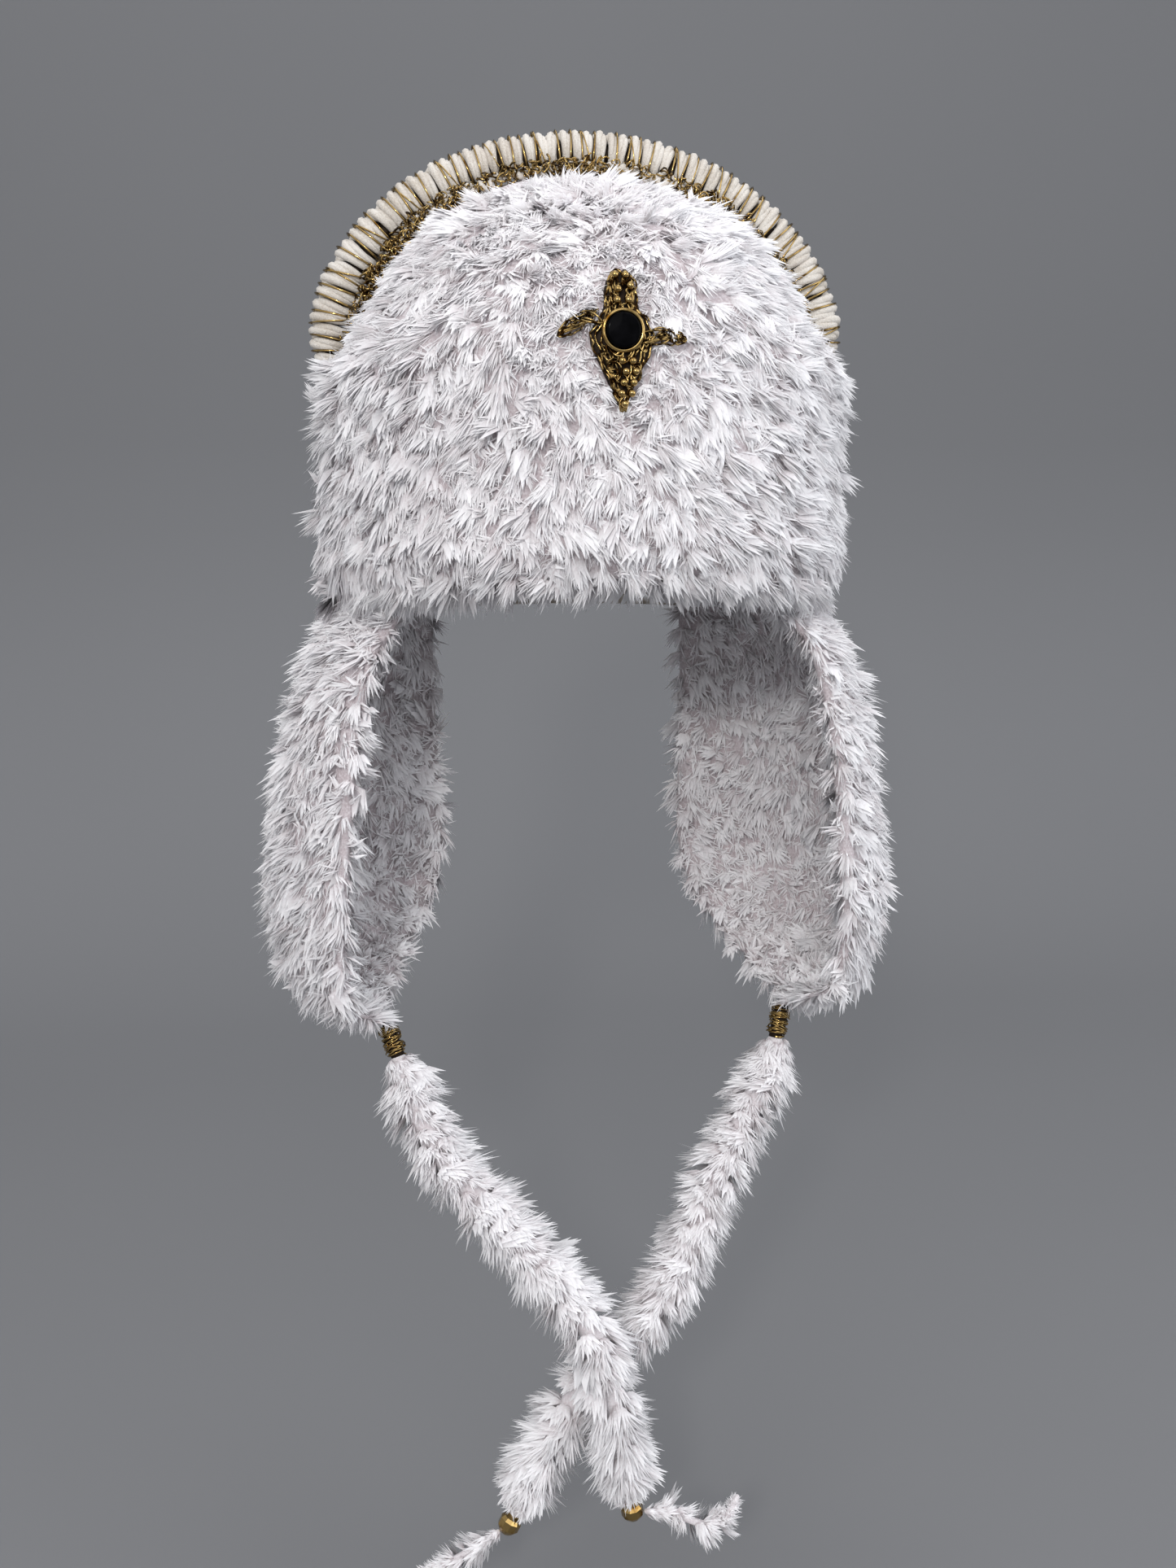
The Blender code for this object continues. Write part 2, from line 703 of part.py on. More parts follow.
def make_stone_and_bezel(collection, materials):
    edge = STONE_RADIUS * 0.12
    profile = [
        (0.0, STONE_HEIGHT),
        (STONE_RADIUS * 0.55, STONE_HEIGHT * 0.97),
        (STONE_RADIUS - 2 * edge, STONE_HEIGHT * 0.88),
        (STONE_RADIUS - edge / 2, STONE_HEIGHT * 0.66),
        (STONE_RADIUS, STONE_HEIGHT * 0.4),
        (STONE_RADIUS, 0.0),
        (0.0, 0.0),
    ]
    stone = turned("brooch_stone", profile, 24, materials["black_stone"], collection)
    stand_on_brooch(stone, 0, 0, 0)
    ring = STONE_RADIUS + HARD_GAP + BEZEL_WIRE
    middle = BEZEL_WIRE * 1.25
    sides = 6
    wire = []
    for k in range(sides + 1):
        turn = math.pi / 2 - 2 * math.pi * k / sides
        wire.append((ring + BEZEL_WIRE * math.cos(turn), middle + middle * math.sin(turn)))
    bezel = turned("brooch_bezel", wire, 20, materials["gold"], collection)
    stand_on_brooch(bezel, 0, 0, 0)


def add_ball(name, radius, segments, rings, material, collection):
    bm = bmesh.new()
    bmesh.ops.create_uvsphere(bm, u_segments=segments, v_segments=rings, radius=radius)
    return add_object(name, mesh_from(bm, name), material, collection)


def make_beads(collection, material):
    for number, (right, up) in enumerate(BEAD_PLACES, start=1):
        bead = add_ball(f"bead_{number:02d}", BEAD_RADIUS, 10, 4, material, collection)
        stand_on_brooch(bead, BROOCH_HALF_WIDTH * right, BROOCH_HEIGHT * up, BEAD_RADIUS)
        bead.data.shade_smooth()


def flap_free_top():
    """The drop at which the flap comes out from under the fur front."""
    return FRONT_DROP + FRONT_SIDE_DROP + 3 * SOFT_GAP


def flap_point(across, down, offset):
    """A point of the right ear flap.

    across runs from its front edge (0) to its back edge (1). down runs from -1 at the crown's rim to 0
    where the flap comes out from under the fur front, and on to 1 at its bottom edge.
    """
    free = max(down, 0.0)
    front = mix(FLAP_FRONT_ANGLE, FLAP_TIP_ANGLE, read_table(FLAP_SECTIONS, free, 1))
    back = mix(FLAP_BACK_ANGLE, FLAP_TIP_ANGLE, read_table(FLAP_SECTIONS, free, 2) * (1 + min(down, 0.0)))
    flares = [read_table(FLAP_SECTIONS, free, column) * FLAP_FLARE for column in (3, 4, 5)]
    bulge = flares[1] - mix(flares[0], flares[2], 0.5)
    flare = mix(flares[0], flares[2], across) + 4 * across * (1 - across) * bulge
    if down > 0:
        drop = mix(flap_free_top(), FLAP_BOTTOM, down)
    else:
        drop = mix(flap_free_top(), RIM_DROP_SIDE + SOFT_GAP, -down)
    return wall_point(mix(front, back, across), travel_at_drop(drop), flare + offset)


def make_ear_flap(side, collection, material):
    """A long cupped flap that carries on the crown's wall, with fur locks outside and inside."""
    dice = random.Random(11)
    turn = SIDES[side]
    downs = [-1.0, -0.5] + [(row / FLAP_ROWS) ** 0.92 for row in range(FLAP_ROWS + 1)]
    grids = {}
    for face, offset in (("outer", FLAP_WALL), ("inner", 0.0)):
        grid = []
        for down in downs:
            points = [flap_point(i / FLAP_COLUMNS, down, offset) for i in range(FLAP_COLUMNS + 1)]
            grid.append([Vector((turn * point.x, point.y, point.z)) for point in points])
        grids[face] = grid
    bm, outer_faces, inner_faces, _ = shell_between(grids["outer"], grids["inner"])
    below_fringe = -(FRONT_DROP + FRONT_SIDE_DROP + 2 * FRINGE_HEIGHT)
    behind_front = -RIDGE_FORWARD + 2 * FLAP_LOCK_HEIGHT
    free = []
    for row in outer_faces:
        for face in row:
            centre = face.calc_center_median()
            if centre.z < below_fringe or centre.y > behind_front:
                free.append(face)
    lined = [face for row in inner_faces[1:] for face in row]
    raise_locks(bm, free, FLAP_LOCK_HEIGHT, LOCK_LEAN, dice)
    raise_locks(bm, lined, FLAP_LOCK_HEIGHT, LOCK_LEAN, dice)
    name = "ear_flap_" + side
    return add_object(name, mesh_from(bm, name), material, collection)


def heading(route):
    """The way that a route sets out."""
    return (Vector(route[1]) - Vector(route[0])).normalized()


def flap_tip(side):
    tip = flap_point(FLAP_TIE_SHARE, 1.0, FLAP_WALL / 2)
    return Vector((SIDES[side] * tip.x, tip.y, tip.z))


def moved_route(route, start):
    shift = start - Vector(route[0])
    return [Vector(point) + shift for point in route]


def tie_route(side):
    route = TIE_ROUTES[side]
    return moved_route(route, flap_tip(side) + heading(route) * (WRAP_SEAT + WRAP_LENGTH + HARD_GAP))


def end_bead_place(side):
    route = tie_route(side)
    along = (route[-1] - route[-2]).normalized()
    return route[-1] + along * (END_BEAD_RADIUS + HARD_GAP)


def tail_route(side):
    route = TAIL_ROUTES[side]
    clear = math.hypot(END_BEAD_RADIUS + HARD_GAP, TAIL_DIAMETER / 2)
    return moved_route(route, end_bead_place(side) + heading(route) * clear)


def make_gold_wrap(side, collection, material):
    """Gold thread wound round the neck between the flap's tip and the tie."""
    coil = WRAP_LENGTH / WRAP_TURNS
    profile = [(0.0, WRAP_LENGTH / 2)]
    for k in range(WRAP_TURNS):
        top = WRAP_LENGTH / 2 - k * coil
        profile.append((WRAP_RADIUS * 0.86, top))
        profile.append((WRAP_RADIUS, top - coil / 2))
    profile.append((WRAP_RADIUS * 0.86, -WRAP_LENGTH / 2))
    profile.append((0.0, -WRAP_LENGTH / 2))
    wrap = turned("gold_wrap_" + side, profile, 10, material, collection)
    along = heading(TIE_ROUTES[side])
    wrap.location = flap_tip(side) + along * (WRAP_SEAT + WRAP_LENGTH / 2)
    wrap.rotation_mode = "QUATERNION"
    wrap.rotation_quaternion = along.to_track_quat("Z", "Y")
    return wrap


def make_tie(side, collection, material):
    points = smooth_route(tie_route(side), TIE_SPACING)
    count = len(points)
    shares = [min(1.0, mix(TIE_END_SHARE, 1.0, min(k, count - 1 - k) / 2)) for k in range(count)]
    return curve_object("tie_" + side, points, shares, TIE_DIAMETER / 2, 8, material, collection)


def make_tail(side, collection, material):
    points = smooth_route(tail_route(side), TAIL_SPACING)
    shares = [1] * len(points)
    return curve_object("tail_" + side, points, shares, TAIL_DIAMETER / 2, 8, material, collection)


def make_end_bead(side, collection, material):
    """A bead cut in flat facets, with a flat table at each end."""
    bm = bmesh.new()
    bmesh.ops.create_cone(
        bm,
        cap_ends=True,
        segments=END_BEAD_SIDES,
        radius1=END_BEAD_RADIUS,
        radius2=END_BEAD_RADIUS,
        depth=END_BEAD_RADIUS * 0.7,
    )
    caps = [face for face in bm.faces if len(face.verts) == END_BEAD_SIDES]
    for inset, lift in ((0.22, 0.30), (0.30, 0.28)):
        bmesh.ops.inset_region(bm, faces=caps, thickness=END_BEAD_RADIUS * inset)
        for cap in caps:
            outward = math.copysign(END_BEAD_RADIUS * lift, cap.calc_center_median().z)
            bmesh.ops.translate(bm, verts=cap.verts, vec=(0, 0, outward))
    name = "end_bead_" + side
    bead = add_object(name, mesh_from(bm, name), material, collection)
    bead.location = end_bead_place(side)
    bead.rotation_mode = "QUATERNION"
    bead.rotation_quaternion = (bead.location - tie_route(side)[-1]).to_track_quat("Z", "Y")
    return bead


def main():
    clear_scene()
    materials = make_materials()
    hat = bpy.data.collections.new("earflap_hat")
    bpy.context.scene.collection.children.link(hat)
    make_crown(hat, materials["wool"])
    make_front_flap(hat, materials["fur"])
    make_trim_ridge(hat, materials["wool"])
    make_gold_edging(hat, materials["gold_thread"])
    make_brooch_plate(hat, materials["gold_thread"])
    make_stone_and_bezel(hat, materials)
    make_beads(hat, materials["gold"])
    for side in SIDES:
        make_leaf(side, hat, materials["gold_thread"])
        make_ear_flap(side, hat, materials["fur"])
        make_gold_wrap(side, hat, materials["gold_thread"])
        make_tie(side, hat, materials["fur"])
        make_end_bead(side, hat, materials["gold"])
        make_tail(side, hat, materials["fur"])


main()
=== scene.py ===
"""The looks of a fluffy earflap hat: tufts of white yarn, cream wool, gold thread and a brooch.

Metres, +Z up. The front faces -Y, and left and right are as seen from the front.
"""

import itertools
import math

import bmesh
import bpy
import numpy as np
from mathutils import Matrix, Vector
from mathutils.bvhtree import BVHTree


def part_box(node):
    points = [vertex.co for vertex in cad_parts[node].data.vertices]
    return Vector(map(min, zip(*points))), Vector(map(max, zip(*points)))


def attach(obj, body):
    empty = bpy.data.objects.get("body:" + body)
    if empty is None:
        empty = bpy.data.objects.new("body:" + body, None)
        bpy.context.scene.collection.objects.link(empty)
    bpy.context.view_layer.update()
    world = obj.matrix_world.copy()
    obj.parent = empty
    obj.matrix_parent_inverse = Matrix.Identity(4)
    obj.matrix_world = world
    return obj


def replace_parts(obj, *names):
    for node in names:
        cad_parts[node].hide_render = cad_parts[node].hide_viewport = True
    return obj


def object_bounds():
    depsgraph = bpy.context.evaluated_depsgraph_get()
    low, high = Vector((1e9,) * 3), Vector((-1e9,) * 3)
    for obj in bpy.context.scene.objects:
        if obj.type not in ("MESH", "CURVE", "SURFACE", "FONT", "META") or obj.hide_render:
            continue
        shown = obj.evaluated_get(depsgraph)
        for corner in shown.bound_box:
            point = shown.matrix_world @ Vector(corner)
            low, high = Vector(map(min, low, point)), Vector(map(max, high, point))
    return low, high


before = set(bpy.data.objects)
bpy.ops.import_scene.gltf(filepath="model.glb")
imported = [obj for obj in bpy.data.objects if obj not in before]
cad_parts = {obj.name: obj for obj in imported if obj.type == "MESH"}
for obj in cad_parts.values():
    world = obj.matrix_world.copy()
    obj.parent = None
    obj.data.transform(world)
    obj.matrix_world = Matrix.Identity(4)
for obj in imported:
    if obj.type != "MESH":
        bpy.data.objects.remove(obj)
CAD_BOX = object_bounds()

bl_info = {
    "name": "Earflap hat",
    "version": (1, 0, 0),
    "blender": (4, 5, 0),
    "location": "3D View > Sidebar > Hat",
    "description": "Tufted fur, wool, gold thread and a brooch for an earflap hat",
    "category": "Object",
}

# Camera, fitted to the ridge and the fringe in the photograph
PHOTO_HEIGHT_PX = 1927
FOCAL_PX = 1927
SENSOR = 36.0
CAMERA_PLACE = (-0.0861, -0.6483, -0.100)
CAMERA_PITCH = math.radians(12)
CAMERA_TURN = math.radians(8)

# The floor: its size, its distance below the hat, and where and how widely it rounds up into a wall
FLOOR_SIZE = 9
FLOOR_DROP = 0.06
WALL_START = 0.7
WALL_ROUND = 0.5

# What the lamps point at, and each lamp's name, place, size, power and colour
AIM = (0, -0.03, -0.2)
LAMPS = (
    ("key", (-0.5, -1.5, 0.7), 1.6, 9, (1.0, 0.98, 0.96)),
    ("fill", (1.3, -0.9, 0.3), 1.2, 8, (0.94, 0.97, 1.0)),
    ("top", (0.1, 0.5, 1.4), 1.0, 5, (1.0, 1.0, 1.0)),
    ("glint", (-0.35, -1.3, 0.35), 0.13, 5, (1.0, 0.98, 0.95)),
)

# The sky's colour, and how its strength rises with the height that its light comes from
SKY_COLOUR = (0.74, 0.75, 0.78, 1.0)
SKY_RISE = {"From Min": -0.6, "From Max": 0.7, "To Min": 0.42, "To Max": 1.22}

# How far below the part's own zero the hat is widest
WIDEST_DROP = 0.067

# The gap between crown and ridge, and the flat of the six-sided ridge as a share of its reach
SEAT_GAP = 0.0007
FLAT_SHARE = math.cos(math.pi / 6)

# The ribs shrink over this length at the ridge's ends, down to this share, and are larger at its sides
RIDGE_TAPER = 0.018
RIDGE_END_SHARE = 0.62
SIDE_GROWTH = 0.25

# Points this near to one another are one point, and one that stands out this far is the tip of a lock
MERGE = 0.00002
LOCK_PROUD = 0.002

# Modelled edges sharper than this stay sharp
SMOOTH_ANGLE = math.radians(35)

# The brooch: loops of thread on it, strands along each of its edges and in each of its leaves
BROOCH_LOOPS = 44
EDGE_STRANDS = 5
LEAF_STRANDS = 11
# Loose strands that run from the brooch to each of its leaves
LEAF_TIES = {"left": 4, "right": 9}

# Each gold wrap: loose turns of thread, and (how far out, coils) of each of its wound layers
WRAP_LOOPS = 14
WRAP_LAYERS = ((0.0, 8), (0.6, 4), (1.1, 3))

# How far the fur's tips stay from the ridge's centre line
FOOT_CLEAR = 0.0194
TOP_CLEAR = 0.006

# Fur nearer to the ridge's centre line than this leans up to it, more and more over this width
LEAN_REACH = 0.038
LEAN_BLEND = 0.026

# Height at which the front's fur is cut into two objects of about the same number of hairs
SPLIT_HEIGHT = -0.082

# Depth of the strip at the front's rear edge that bears fur below the ridge's ends
REAR_STRIP = 0.012

# How far round the brooch the fur is shorter
BROOCH_NEST = 0.010

# Length of the short fluff under the lower edge, and the least length of a lock
UNDER_LENGTH = 0.012
LEAST_LENGTH = 0.003

# The fringe: how high it starts above the lower edge, and how much longer its tufts are
FRINGE_HEIGHT = 0.012
FRINGE_GROWTH = 1.45

# The least that a soft normal agrees with its own face, so that no hair is shaded from behind
SOFT_LIMIT = 0.6

# Tries at a root for each place that a layer of fur has room for
ROOT_TRIES = 7

# The hairs of a lock on the flaps, as a share of those on the front
FLAP_HAIRS = 0.42
# The fur of an ear flap is shorter this near to the gold wrap at its tip
WRAP_CLEAR = 0.022

# The fur of a cord: hairs and spread of a lock, turn between locks, and the length of its shorter ends
TIE_LOCKS = (28, 0.0020)
TAIL_LOCKS = (14, 0.0012)
LOCK_TURN = 2.39996
CORD_END = 0.016
# Spacing and length of the fuzz on the tails
TAIL_FUZZ = (0.0023, 0.0085)

# The layers of fur: short fluff, locks over it, and the close fluff round the brooch
LAYERS = (
    # (spacing, length, hairs, spread, stray, fan) with the first two as shares of the sizes below
    (0.72, 0.62, 16, 0.0026, 0.16, 1.3),
    (1.00, 0.92, 44, 0.0019, 0.10, 1.35),
    (0.50, 0.58, 11, 0.0021, 0.20, 1.60),
)

SIDES = {"left": -1, "right": 1}

# The crown's stitches: thickness of their yarn, and how far they start behind the front
STITCH_YARN = 0.0013
STITCH_START = 0.002

# The ribs: plies of each, thickness of a ply, and how far it lies from the rib's middle
RIB_PLIES = 3
PLY_RADIUS = 0.00120
PLY_ASIDE = 0.00108
PLY_LIFT = 0.0008

# The ridge's foot: how far it lies in front of the ribs and below the centre line
FOOT_AHEAD = 0.0006
FOOT_BELOW = 0.0056

# Steps of the wool knots and of the gold chain along the ridge, and the thickness of the knots' yarn
KNOT_STEP = 0.0052
CHAIN_STEP = 0.0021
KNOT_YARN = 0.0010
# One half of a wool knot
KNOT_PATH = (
    (0.0002, 0.0, -0.0014),
    (0.0011, 0.0006, -0.0006),
    (0.0012, 0.0008, 0.0006),
    (0.0001, 0.0003, 0.0015),
)
# Half sizes of one gold loop: along, across and out of its own plane
CHAIN_LOOP = (0.0018, 0.0012, 0.0006)

# Routes of the ties and of the tails, from the gold wrap and from the end bead
TIE_ROUTES = {
    "left": (
        (-0.0789, -0.0390, -0.3426), (-0.0757, -0.0425, -0.3516), (-0.0664, -0.0550, -0.3726),
        (-0.0519, -0.0670, -0.3896), (-0.0359, -0.0780, -0.4046), (-0.0229, -0.0860, -0.4176),
        (-0.0119, -0.0920, -0.4306), (-0.0049, -0.0970, -0.4426), (-0.0014, -0.0990, -0.4576),
        (0.0023, -0.0995, -0.4756), (0.0058, -0.0990, -0.4986), (0.0082, -0.0990, -0.5126),
    ),
    "right": (
        (0.0798, -0.0376, -0.3434), (0.0773, -0.0401, -0.3524), (0.0668, -0.0486, -0.3694),
        (0.0558, -0.0556, -0.3854), (0.0468, -0.0626, -0.4004), (0.0398, -0.0676, -0.4144),
        (0.0313, -0.0726, -0.4289), (0.0208, -0.0766, -0.4424), (0.0078, -0.0786, -0.4574),
        (-0.0072, -0.0811, -0.4714), (-0.0187, -0.0846, -0.4854), (-0.0277, -0.0871, -0.5004),
        (-0.0342, -0.0886, -0.5154), (-0.0374, -0.0891, -0.5214),
    ),
}
TAIL_ROUTES = {
    "left": (
        (0.0142, -0.0998, -0.5179), (0.0197, -0.1006, -0.5185), (0.0246, -0.1013, -0.5173),
        (0.0314, -0.1043, -0.5203), (0.0407, -0.1063, -0.5223), (0.0467, -0.1073, -0.5173),
        (0.0501, -0.1083, -0.5084),
    ),
    "right": (
        (-0.0440, -0.0900, -0.5283), (-0.0515, -0.0909, -0.5330), (-0.0605, -0.0914, -0.5375),
        (-0.0685, -0.0919, -0.5407), (-0.0780, -0.0929, -0.5422),
    ),
}

# How the gold chain gathers along the ridge's foot, from its right end to its left end
GOLD_GATHERS = (
    # (share of the arc, loops at each step, reach into the fur)
    (0.00, 0, 0.0015),
    (0.10, 2, 0.0015),
    (0.16, 7, 0.0045),
    (0.24, 5, 0.0035),
    (0.30, 8, 0.0055),
    (0.36, 3, 0.0020),
    (0.45, 3, 0.0020),
    (0.51, 7, 0.0040),
    (0.56, 4, 0.0030),
    (0.66, 3, 0.0020),
    (0.77, 7, 0.0050),
    (0.80, 9, 0.0065),
    (0.84, 5, 0.0030),
    (0.89, 9, 0.0065),
    (0.95, 7, 0.0050),
    (1.00, 1, 0.0020),
)

# Outline of the brooch from its top, as shares of its height and of its half width
BROOCH_ROWS = (
    # (down, half width)
    (0.00, 0.14),
    (0.05, 0.36),
    (0.14, 0.50),
    (0.28, 0.52),
    (0.37, 0.78),
    (0.46, 1.00),
    (0.55, 0.94),
    (0.72, 0.60),
    (0.88, 0.28),
    (1.00, 0.08),
)


def length_of(name, description, default):
    return bpy.props.FloatProperty(
        name=name, description=description, default=default, min=0.0, unit="LENGTH", precision=5
    )


def colour_of(name, description, default):
    return bpy.props.FloatVectorProperty(
        name=name, description=description, default=default, min=0.0, max=1.0, size=3, subtype="COLOR"
    )


class HatSizes(bpy.types.PropertyGroup):
    """Sizes that a maker of the hat would change."""

    fur_length: length_of("Fur length", "Length of the tufts on the front", 0.0130)
    fur_spacing: length_of("Fur spacing", "Distance between tufts on the front", 0.0052)
    flap_fur_length: length_of("Flap fur length", "Length of the tufts on the ear flaps", 0.0130)
    flap_spacing: length_of("Flap fur spacing", "Distance between tufts on the flaps", 0.0060)
    hair_width: length_of("Hair width", "Width of a hair at its middle", 0.00050)
    tie_core: length_of("Tie core", "Diameter of the cord inside a furry tie", 0.010)
    tie_fur_length: length_of("Tie fur length", "Length of the tufts on the ties", 0.0118)
    tie_spacing: length_of("Tie fur spacing", "Distance between tufts on the ties", 0.0040)
    tail_core: length_of("Tail core", "Diameter of a bare tail of yarn", 0.0030)
    rib_pitch: length_of("Rib pitch", "Distance between the wool ribs of the ridge", 0.0044)
    rib_reach: length_of("Rib reach", "Reach of a rib beyond the ridge's centre line", 0.0085)
    rib_depth: length_of("Rib depth", "Half of the ridge's thickness from front to back", 0.0060)
    stitch_width: length_of("Stitch width", "Width of a wool stitch on the crown", 0.0060)
    stitch_height: length_of("Stitch height", "Height of a row of wool stitches", 0.0051)
    thread_width: length_of("Thread width", "Diameter of the gold thread", 0.00055)
    brooch_thread: length_of("Brooch thread", "Diameter of the gold thread on the brooch", 0.00085)


class HatColours(bpy.types.PropertyGroup):
    """Colours of the yarns, the metal, the stone and the floor."""

    fur_tip: colour_of("Fur tip", "White at the tips of the fur", (0.93, 0.92, 0.94))
    # Painted shade: the mauve grey of the roots and of the backing, for the shade deep in the fur between
    # the tufts
    fur_root_painted_shade: colour_of("Fur root", "Mauve grey between the tufts", (0.46, 0.39, 0.41))
    wool: colour_of("Wool", "Cream wool", (0.75, 0.715, 0.665))
    # Darker fibres of the wool at random, and painted shade in the low parts of the knit's stitches
    wool_fibres_and_painted_shade: colour_of("Wool shade", "Darker fibres of the wool", (0.46, 0.40, 0.33))
    gold: colour_of("Gold", "Bright face of the gold", (0.40, 0.275, 0.105))
    # Painted shade: the near black of the gold thread's dark turns and of the gold under the threads
    gold_painted_shade: colour_of("Gold shade", "Dark side of the gold thread", (0.024, 0.011, 0.003))
    stone: colour_of("Stone", "Polished black stone", (0.0012, 0.0012, 0.0015))
    floor: colour_of("Floor", "Grey floor and backdrop", (0.21, 0.213, 0.222))


class Signal:
    """A shader socket on which plain arithmetic works: each step adds one Math node."""

    def __init__(self, shader, socket):
        self.shader = shader
        self.socket = socket

    def step(self, operation, first, second):
        return self.shader.node("ShaderNodeMath", {"operation": operation}, {0: first, 1: second})

    def __add__(self, other):
        return self.step("ADD", self, other)

    def __sub__(self, other):
        return self.step("SUBTRACT", self, other)

    def __rsub__(self, other):
        return self.step("SUBTRACT", other, self)

    def __mul__(self, other):
        return self.step("MULTIPLY", self, other)

    __radd__ = __add__
    __rmul__ = __mul__


class Shader:
    """The nodes of one material, round a Principled shader."""

    def __init__(self, name, **constants):
        self.material = bpy.data.materials.new("hat_" + name)
        self.material.use_nodes = True
        self.tree = self.material.node_tree
        self.surface = self.tree.nodes["Principled BSDF"]
        for socket, value in constants.items():
            self.surface.inputs[self.label(socket)].default_value = value

    def label(self, name):
        """The shader's own label of a socket, such as Base Color for base_color."""
        return name.replace("_", " ").title().replace("Ior", "IOR")

    def feed(self, socket, value):
        if isinstance(value, Signal):
            self.tree.links.new(value.socket, socket)
        else:
            socket.default_value = value

    def node(self, kind, settings, values, output=0):
        made = self.tree.nodes.new(kind)
        for key, value in settings.items():
            setattr(made, key, value)
        for key, value in values.items():
            self.feed(made.inputs[key], value)
        return Signal(self, made.outputs[output])

    def place(self):
        return self.node("ShaderNodeTexCoord", {}, {}, "Object")

    def stored(self, name):
        return self.node("ShaderNodeAttribute", {"attribute_name": name}, {}, "Fac")

    def noise(self, scale, detail=2.0):
        values = {"Vector": self.place(), "Scale": scale, "Detail": detail}
        return self.node("ShaderNodeTexNoise", {}, values)

    def ramp(self, value, low, high):
        """The value drawn out so that low becomes 0 and high becomes 1."""
        values = {"Value": value, "From Min": low, "From Max": high}
        return self.node("ShaderNodeMapRange", {}, values)

    def colours(self, share, first, second):
        values = {0: share, 6: (*first, 1.0), 7: (*second, 1.0)}
        return self.node("ShaderNodeMix", {"data_type": "RGBA"}, values, 2)

    def paint(self, **sockets):
        for socket, value in sockets.items():
            self.feed(self.surface.inputs[self.label(socket)], value)

    def tint(self, share, first, second):
        """Blends the base colour from the first to the second."""
        self.paint(base_color=self.colours(share, first, second))

    def bump(self, height, distance):
        values = {"Height": height, "Distance": distance}
        self.paint(normal=self.node("ShaderNodeBump", {}, values))


def fur_material(colours):
    """White yarn with painted shade: mauve grey at the roots, white at the tips, no two tufts quite alike.
    """
    shader = Shader("fur", roughness=0.92, sheen_weight=0.25, sheen_roughness=0.6)
    cloud = shader.noise(45.0)
    fibres = shader.noise(1100.0)
    tip = shader.stored("tip")
    # How deep in the fur a point lies, for the painted shade: darker towards the roots, with random tone per
    # tuft, in clouds and in fibres
    depth = tip * 0.75 + shader.stored("tuft") * 0.25 + cloud * 0.3 + (fibres - 0.5) * (1.0 - tip)
    shader.tint(shader.ramp(depth, 0.16, 0.92), colours.fur_root_painted_shade, colours.fur_tip)
    return shader.material


def wool_material(colours):
    """Cream wool with fine fibres."""
    shader = Shader("wool", roughness=0.88, sheen_weight=0.3, sheen_roughness=0.5)
    fibres = shader.noise(1600.0, 3.0)
    cloud = shader.noise(90.0)
    share = shader.ramp(fibres * 0.6 + cloud * 0.6, 0.35, 0.75)
    shader.tint(share, colours.wool_fibres_and_painted_shade, colours.wool)
    shader.bump(fibres, 0.00035)
    return shader.material


def knit_material(colours):
    """Plain rows of wool stitches, for the inside of the crown, with painted shade where their relief is
    low.
    """
    shader = Shader("knit", roughness=0.9, sheen_weight=0.3, sheen_roughness=0.5)
    parts = shader.tree.nodes.new("ShaderNodeSeparateXYZ")
    shader.feed(parts.inputs[0], shader.place())
    across, ahead, height = [Signal(shader, parts.outputs[k]) for k in range(3)]
    turn = across.step("ARCTAN2", across, ahead)
    rows = height.step("SINE", height * (2 * math.pi / 0.0042), 0.0)
    stitches = turn.step("SINE", turn * 110.0 + rows * 0.8, 0.0)
    fibres = shader.noise(1600.0, 3.0)
    relief = rows * 0.35 + stitches * 0.35 + fibres * 0.4
    # Darker where the relief is low: painted shade in the stitches' grooves, with the fibres' random tone
    share = shader.ramp(relief, -0.4, 0.7)
    shader.tint(share, colours.wool_fibres_and_painted_shade, colours.wool)
    shader.bump(relief, 0.0006)
    return shader.material


def thread_material(colours):
    """Twisted gold thread, with painted light: bright gold for glints and near black for the shade in its
    turns, along a noise.
    """
    shader = Shader("gold_thread", metallic=1.0)
    twist = shader.noise(520.0, 1.0)
    # Painted glints and painted shade along the thread
    share = shader.ramp(twist, 0.44, 0.60)
    shader.tint(share, colours.gold_painted_shade, colours.gold)
    shader.paint(roughness=shader.ramp(twist, 0.9, 0.1) * 0.22 + 0.14)
    shader.bump(twist, 0.0002)
    return shader.material


def gold_material(colours):
    """Polished gold, darker and browner where it is tarnished."""
    shader = Shader("gold", metallic=1.0)
    tarnish = shader.noise(260.0, 3.0)
    share = shader.ramp(tarnish, 0.28, 0.46)
    shade = [value**2 for value in colours.gold]
    shader.tint(share, shade, colours.gold)
    shader.paint(roughness=tarnish * 0.12 + 0.06)
    return shader.material


def gold_in_painted_shade_material(colours):
    """Gold in painted deep shade, near black, for what lies under the threads of the brooch, the ribs and
    the gold wraps.
    """
    shader = Shader("gold_in_painted_shade", metallic=0.6, roughness=0.6)
    grain = shader.noise(700.0, 3.0)
    # Near black, darker still in a grain: painted shade
    dim = [0.35 * value for value in colours.gold_painted_shade]
    shader.tint(grain, dim, colours.gold_painted_shade)
    shader.bump(grain, 0.0003)
    return shader.material


def stone_material(colours):
    """Black stone, polished, with faint smears."""
    shader = Shader("black_stone", specular_ior_level=0.02, coat_weight=0.015, coat_roughness=0.03)
    smear = shader.noise(180.0, 3.0)
    shade = [4 * value for value in colours.stone]
    shader.tint(shader.ramp(smear, 0.4, 0.9), colours.stone, shade)
    shader.paint(roughness=smear * 0.12 + 0.02)
    return shader.material


